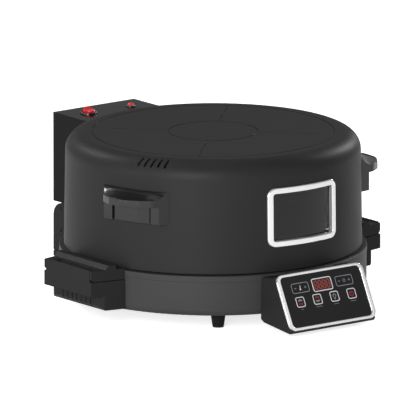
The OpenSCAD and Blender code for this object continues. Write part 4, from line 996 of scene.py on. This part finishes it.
class SCENE_OT_pizza_stage(bpy.types.Operator):
    """Builds the floor, the studio light and the camera"""
    bl_idname = "scene.pizza_stage"
    bl_label = "Stage"

    # name, place in m, diameter in m, watts
    lamps = (("key_left", (-1.85, -1.25, 0.75), 1.0, 36),
             ("fill_front", (0.9, -2.0, 1.0), 1.4, 3),
             ("rim_left", (-0.55, 1.63, 1.38), 0.45, 11),
             ("rim_right", (1.85, 0.37, 0.93), 0.4, 12),
             ("strip_left", (-2.0, 0.35, 0.35), 0.4, 6),
             ("top", (0.0, 0.4, 2.2), 1.4, 3))
    lamp_aim = Vector((0, 0, 0.12))
    # strengths, where 1 is white: what the camera sees, what lights the part, and what
    # metal and glass mirror, low down and overhead
    room_seen, room_light, room_low, room_high = 1.0, 0.34, 0.38, 0.12
    paper, paper_seen, paper_mirrored = 0.8, 0.75, 0.3
    # the photograph's view: angles in degrees, lengths in m, lens and sensor in mm
    azimuth, elevation = -37.8, 12.6
    view_width, aim_right, aim_up = 0.5352, -0.00395, 0.11125
    lens, sensor = 1500.0, 36.0

    def execute(self, context):
        scene = context.scene
        self.floor(scene)
        self.world(scene)
        for row in self.lamps:
            self.lamp(scene, *row)
        self.camera(scene)
        scene.view_settings.view_transform = "Standard"
        return {"FINISHED"}

    def floor(self, scene):
        half = 4.0
        mesh = bpy.data.meshes.new("studio_floor")
        mesh.from_pydata([(-half, -half, 0), (half, -half, 0), (half, half, 0),
                          (-half, half, 0)], [], [(0, 1, 2, 3)])
        floor = bpy.data.objects.new("studio_floor", mesh)
        scene.collection.objects.link(floor)
        # White paper: lit and shaded as it is, and lifted to white where the camera sees
        # it, and a little in reflections
        material = bpy.data.materials.new("white_paper_sweep")
        material.use_nodes = True
        tree = material.node_tree
        tree.nodes.clear()
        path = add(tree, "ShaderNodeLightPath")
        mirrored = add(tree, "ShaderNodeMath", {"operation": "MAXIMUM"},
                       {0: (path, "Is Glossy Ray"), 1: (path, "Is Transmission Ray")})
        faint = add(tree, "ShaderNodeMath", {"operation": "MULTIPLY",
                                             1: self.paper_mirrored}, {0: (mirrored, 0)})
        level = add(tree, "ShaderNodeMix", {"data_type": "FLOAT", 3: self.paper_seen},
                    {0: (path, "Is Camera Ray"), 2: (faint, 0)})
        sheet = add(tree, "ShaderNodeBsdfDiffuse", {"Color": rgba([self.paper] * 3)})
        lift = add(tree, "ShaderNodeEmission", {"Color": (1, 1, 1, 1)},
                   {"Strength": (level, 0)})
        both = add(tree, "ShaderNodeAddShader", None, {0: (sheet, 0), 1: (lift, 0)})
        add(tree, "ShaderNodeOutputMaterial", None, {"Surface": (both, 0)})
        mesh.materials.append(material)

    def world(self, scene):
        world = bpy.data.worlds.new("white_studio")
        scene.world = world
        world.use_nodes = True
        tree = world.node_tree
        tree.nodes.clear()
        path = add(tree, "ShaderNodeLightPath")
        mirrored = add(tree, "ShaderNodeMath", {"operation": "MAXIMUM"},
                       {0: (path, "Is Glossy Ray"), 1: (path, "Is Transmission Ray")})
        # the room as metal and glass mirror it, dimmer from the horizon to the ceiling
        place = add(tree, "ShaderNodeTexCoord")
        axes = add(tree, "ShaderNodeSeparateXYZ", None, {0: (place, "Generated")})
        wall = add(tree, "ShaderNodeMapRange",
                   {"From Min": -0.05, "From Max": 0.8, "To Min": self.room_low,
                    "To Max": self.room_high}, {"Value": (axes, "Z")})
        room = add(tree, "ShaderNodeMix", {"data_type": "FLOAT", 2: self.room_light},
                   {0: (mirrored, 0), 3: (wall, "Result")})
        level = add(tree, "ShaderNodeMix", {"data_type": "FLOAT", 3: self.room_seen},
                    {0: (path, "Is Camera Ray"), 2: (room, 0)})
        sky = add(tree, "ShaderNodeBackground", {"Color": (1, 1, 1, 1)},
                  {"Strength": (level, 0)})
        add(tree, "ShaderNodeOutputWorld", None, {"Surface": (sky, 0)})

    def lamp(self, scene, name, place, size, watts):
        data = bpy.data.lights.new(name, "AREA")
        data.shape = "DISK"
        data.size = size
        data.energy = watts
        lamp = bpy.data.objects.new(name, data)
        scene.collection.objects.link(lamp)
        lamp.location = place
        aim = self.lamp_aim - Vector(place)
        lamp.rotation_euler = aim.to_track_quat("-Z", "Y").to_euler()

    def camera(self, scene):
        azimuth, elevation = radians(self.azimuth, self.elevation)
        back = Vector((math.sin(azimuth) * math.cos(elevation),
                       -math.cos(azimuth) * math.cos(elevation), math.sin(elevation)))
        right = Vector((math.cos(azimuth), math.sin(azimuth), 0))
        up = back.cross(right)
        aim = right * self.aim_right + up * self.aim_up
        data = bpy.data.cameras.new("photo_camera")
        data.lens = self.lens
        data.sensor_width = self.sensor
        data.clip_start, data.clip_end = 1.0, 200.0
        camera = bpy.data.objects.new("photo_camera", data)
        scene.collection.objects.link(camera)
        camera.location = aim + back * (self.view_width * self.lens / self.sensor)
        camera.rotation_mode = "QUATERNION"
        camera.rotation_quaternion = (-back).to_track_quat("-Z", "Y")
        scene.camera = camera


# ---- sidebar panel and registration ----------------------------------------------------

STEPS = (MESH_OT_pizza_shells, MESH_OT_pizza_window, MESH_OT_pizza_handles,
         MESH_OT_pizza_hinge, MESH_OT_pizza_switch, MESH_OT_pizza_oven,
         MESH_OT_pizza_stone, MESH_OT_pizza_feet, MESH_OT_pizza_grips,
         MESH_OT_pizza_panel, MESH_OT_pizza_rear, MESH_OT_pizza_screws,
         SCENE_OT_pizza_stage)


class VIEW3D_PT_pizza_maker(bpy.types.Panel):
    """Lists the steps, the sizes and the colours"""
    bl_idname = "VIEW3D_PT_pizza_maker"
    bl_label = "Pizza maker"
    bl_space_type = "VIEW_3D"
    bl_region_type = "UI"
    bl_category = "Pizza maker"

    def draw(self, context):
        for step in STEPS:
            self.layout.operator(step.bl_idname)
        for group in (context.scene.pizza_maker_sizes, context.scene.pizza_maker_colours):
            for name in group.__annotations__:
                self.layout.prop(group, name)


CLASSES = (PizzaMakerSizes, PizzaMakerColours, *STEPS, VIEW3D_PT_pizza_maker)


def register():
    for cls in CLASSES:
        bpy.utils.register_class(cls)
    bpy.types.Scene.pizza_maker_sizes = bpy.props.PointerProperty(type=PizzaMakerSizes)
    bpy.types.Scene.pizza_maker_colours = bpy.props.PointerProperty(type=PizzaMakerColours)


def unregister():
    del bpy.types.Scene.pizza_maker_colours
    del bpy.types.Scene.pizza_maker_sizes
    for cls in reversed(CLASSES):
        bpy.utils.unregister_class(cls)


def main():
    register()
    for step in STEPS:
        group, name = step.bl_idname.split(".")
        if getattr(getattr(bpy.ops, group), name)() != {"FINISHED"}:
            raise RuntimeError(f"{step.bl_label} wasn't built")
    bpy.context.view_layer.update()


if __name__ == "__main__":
    main()
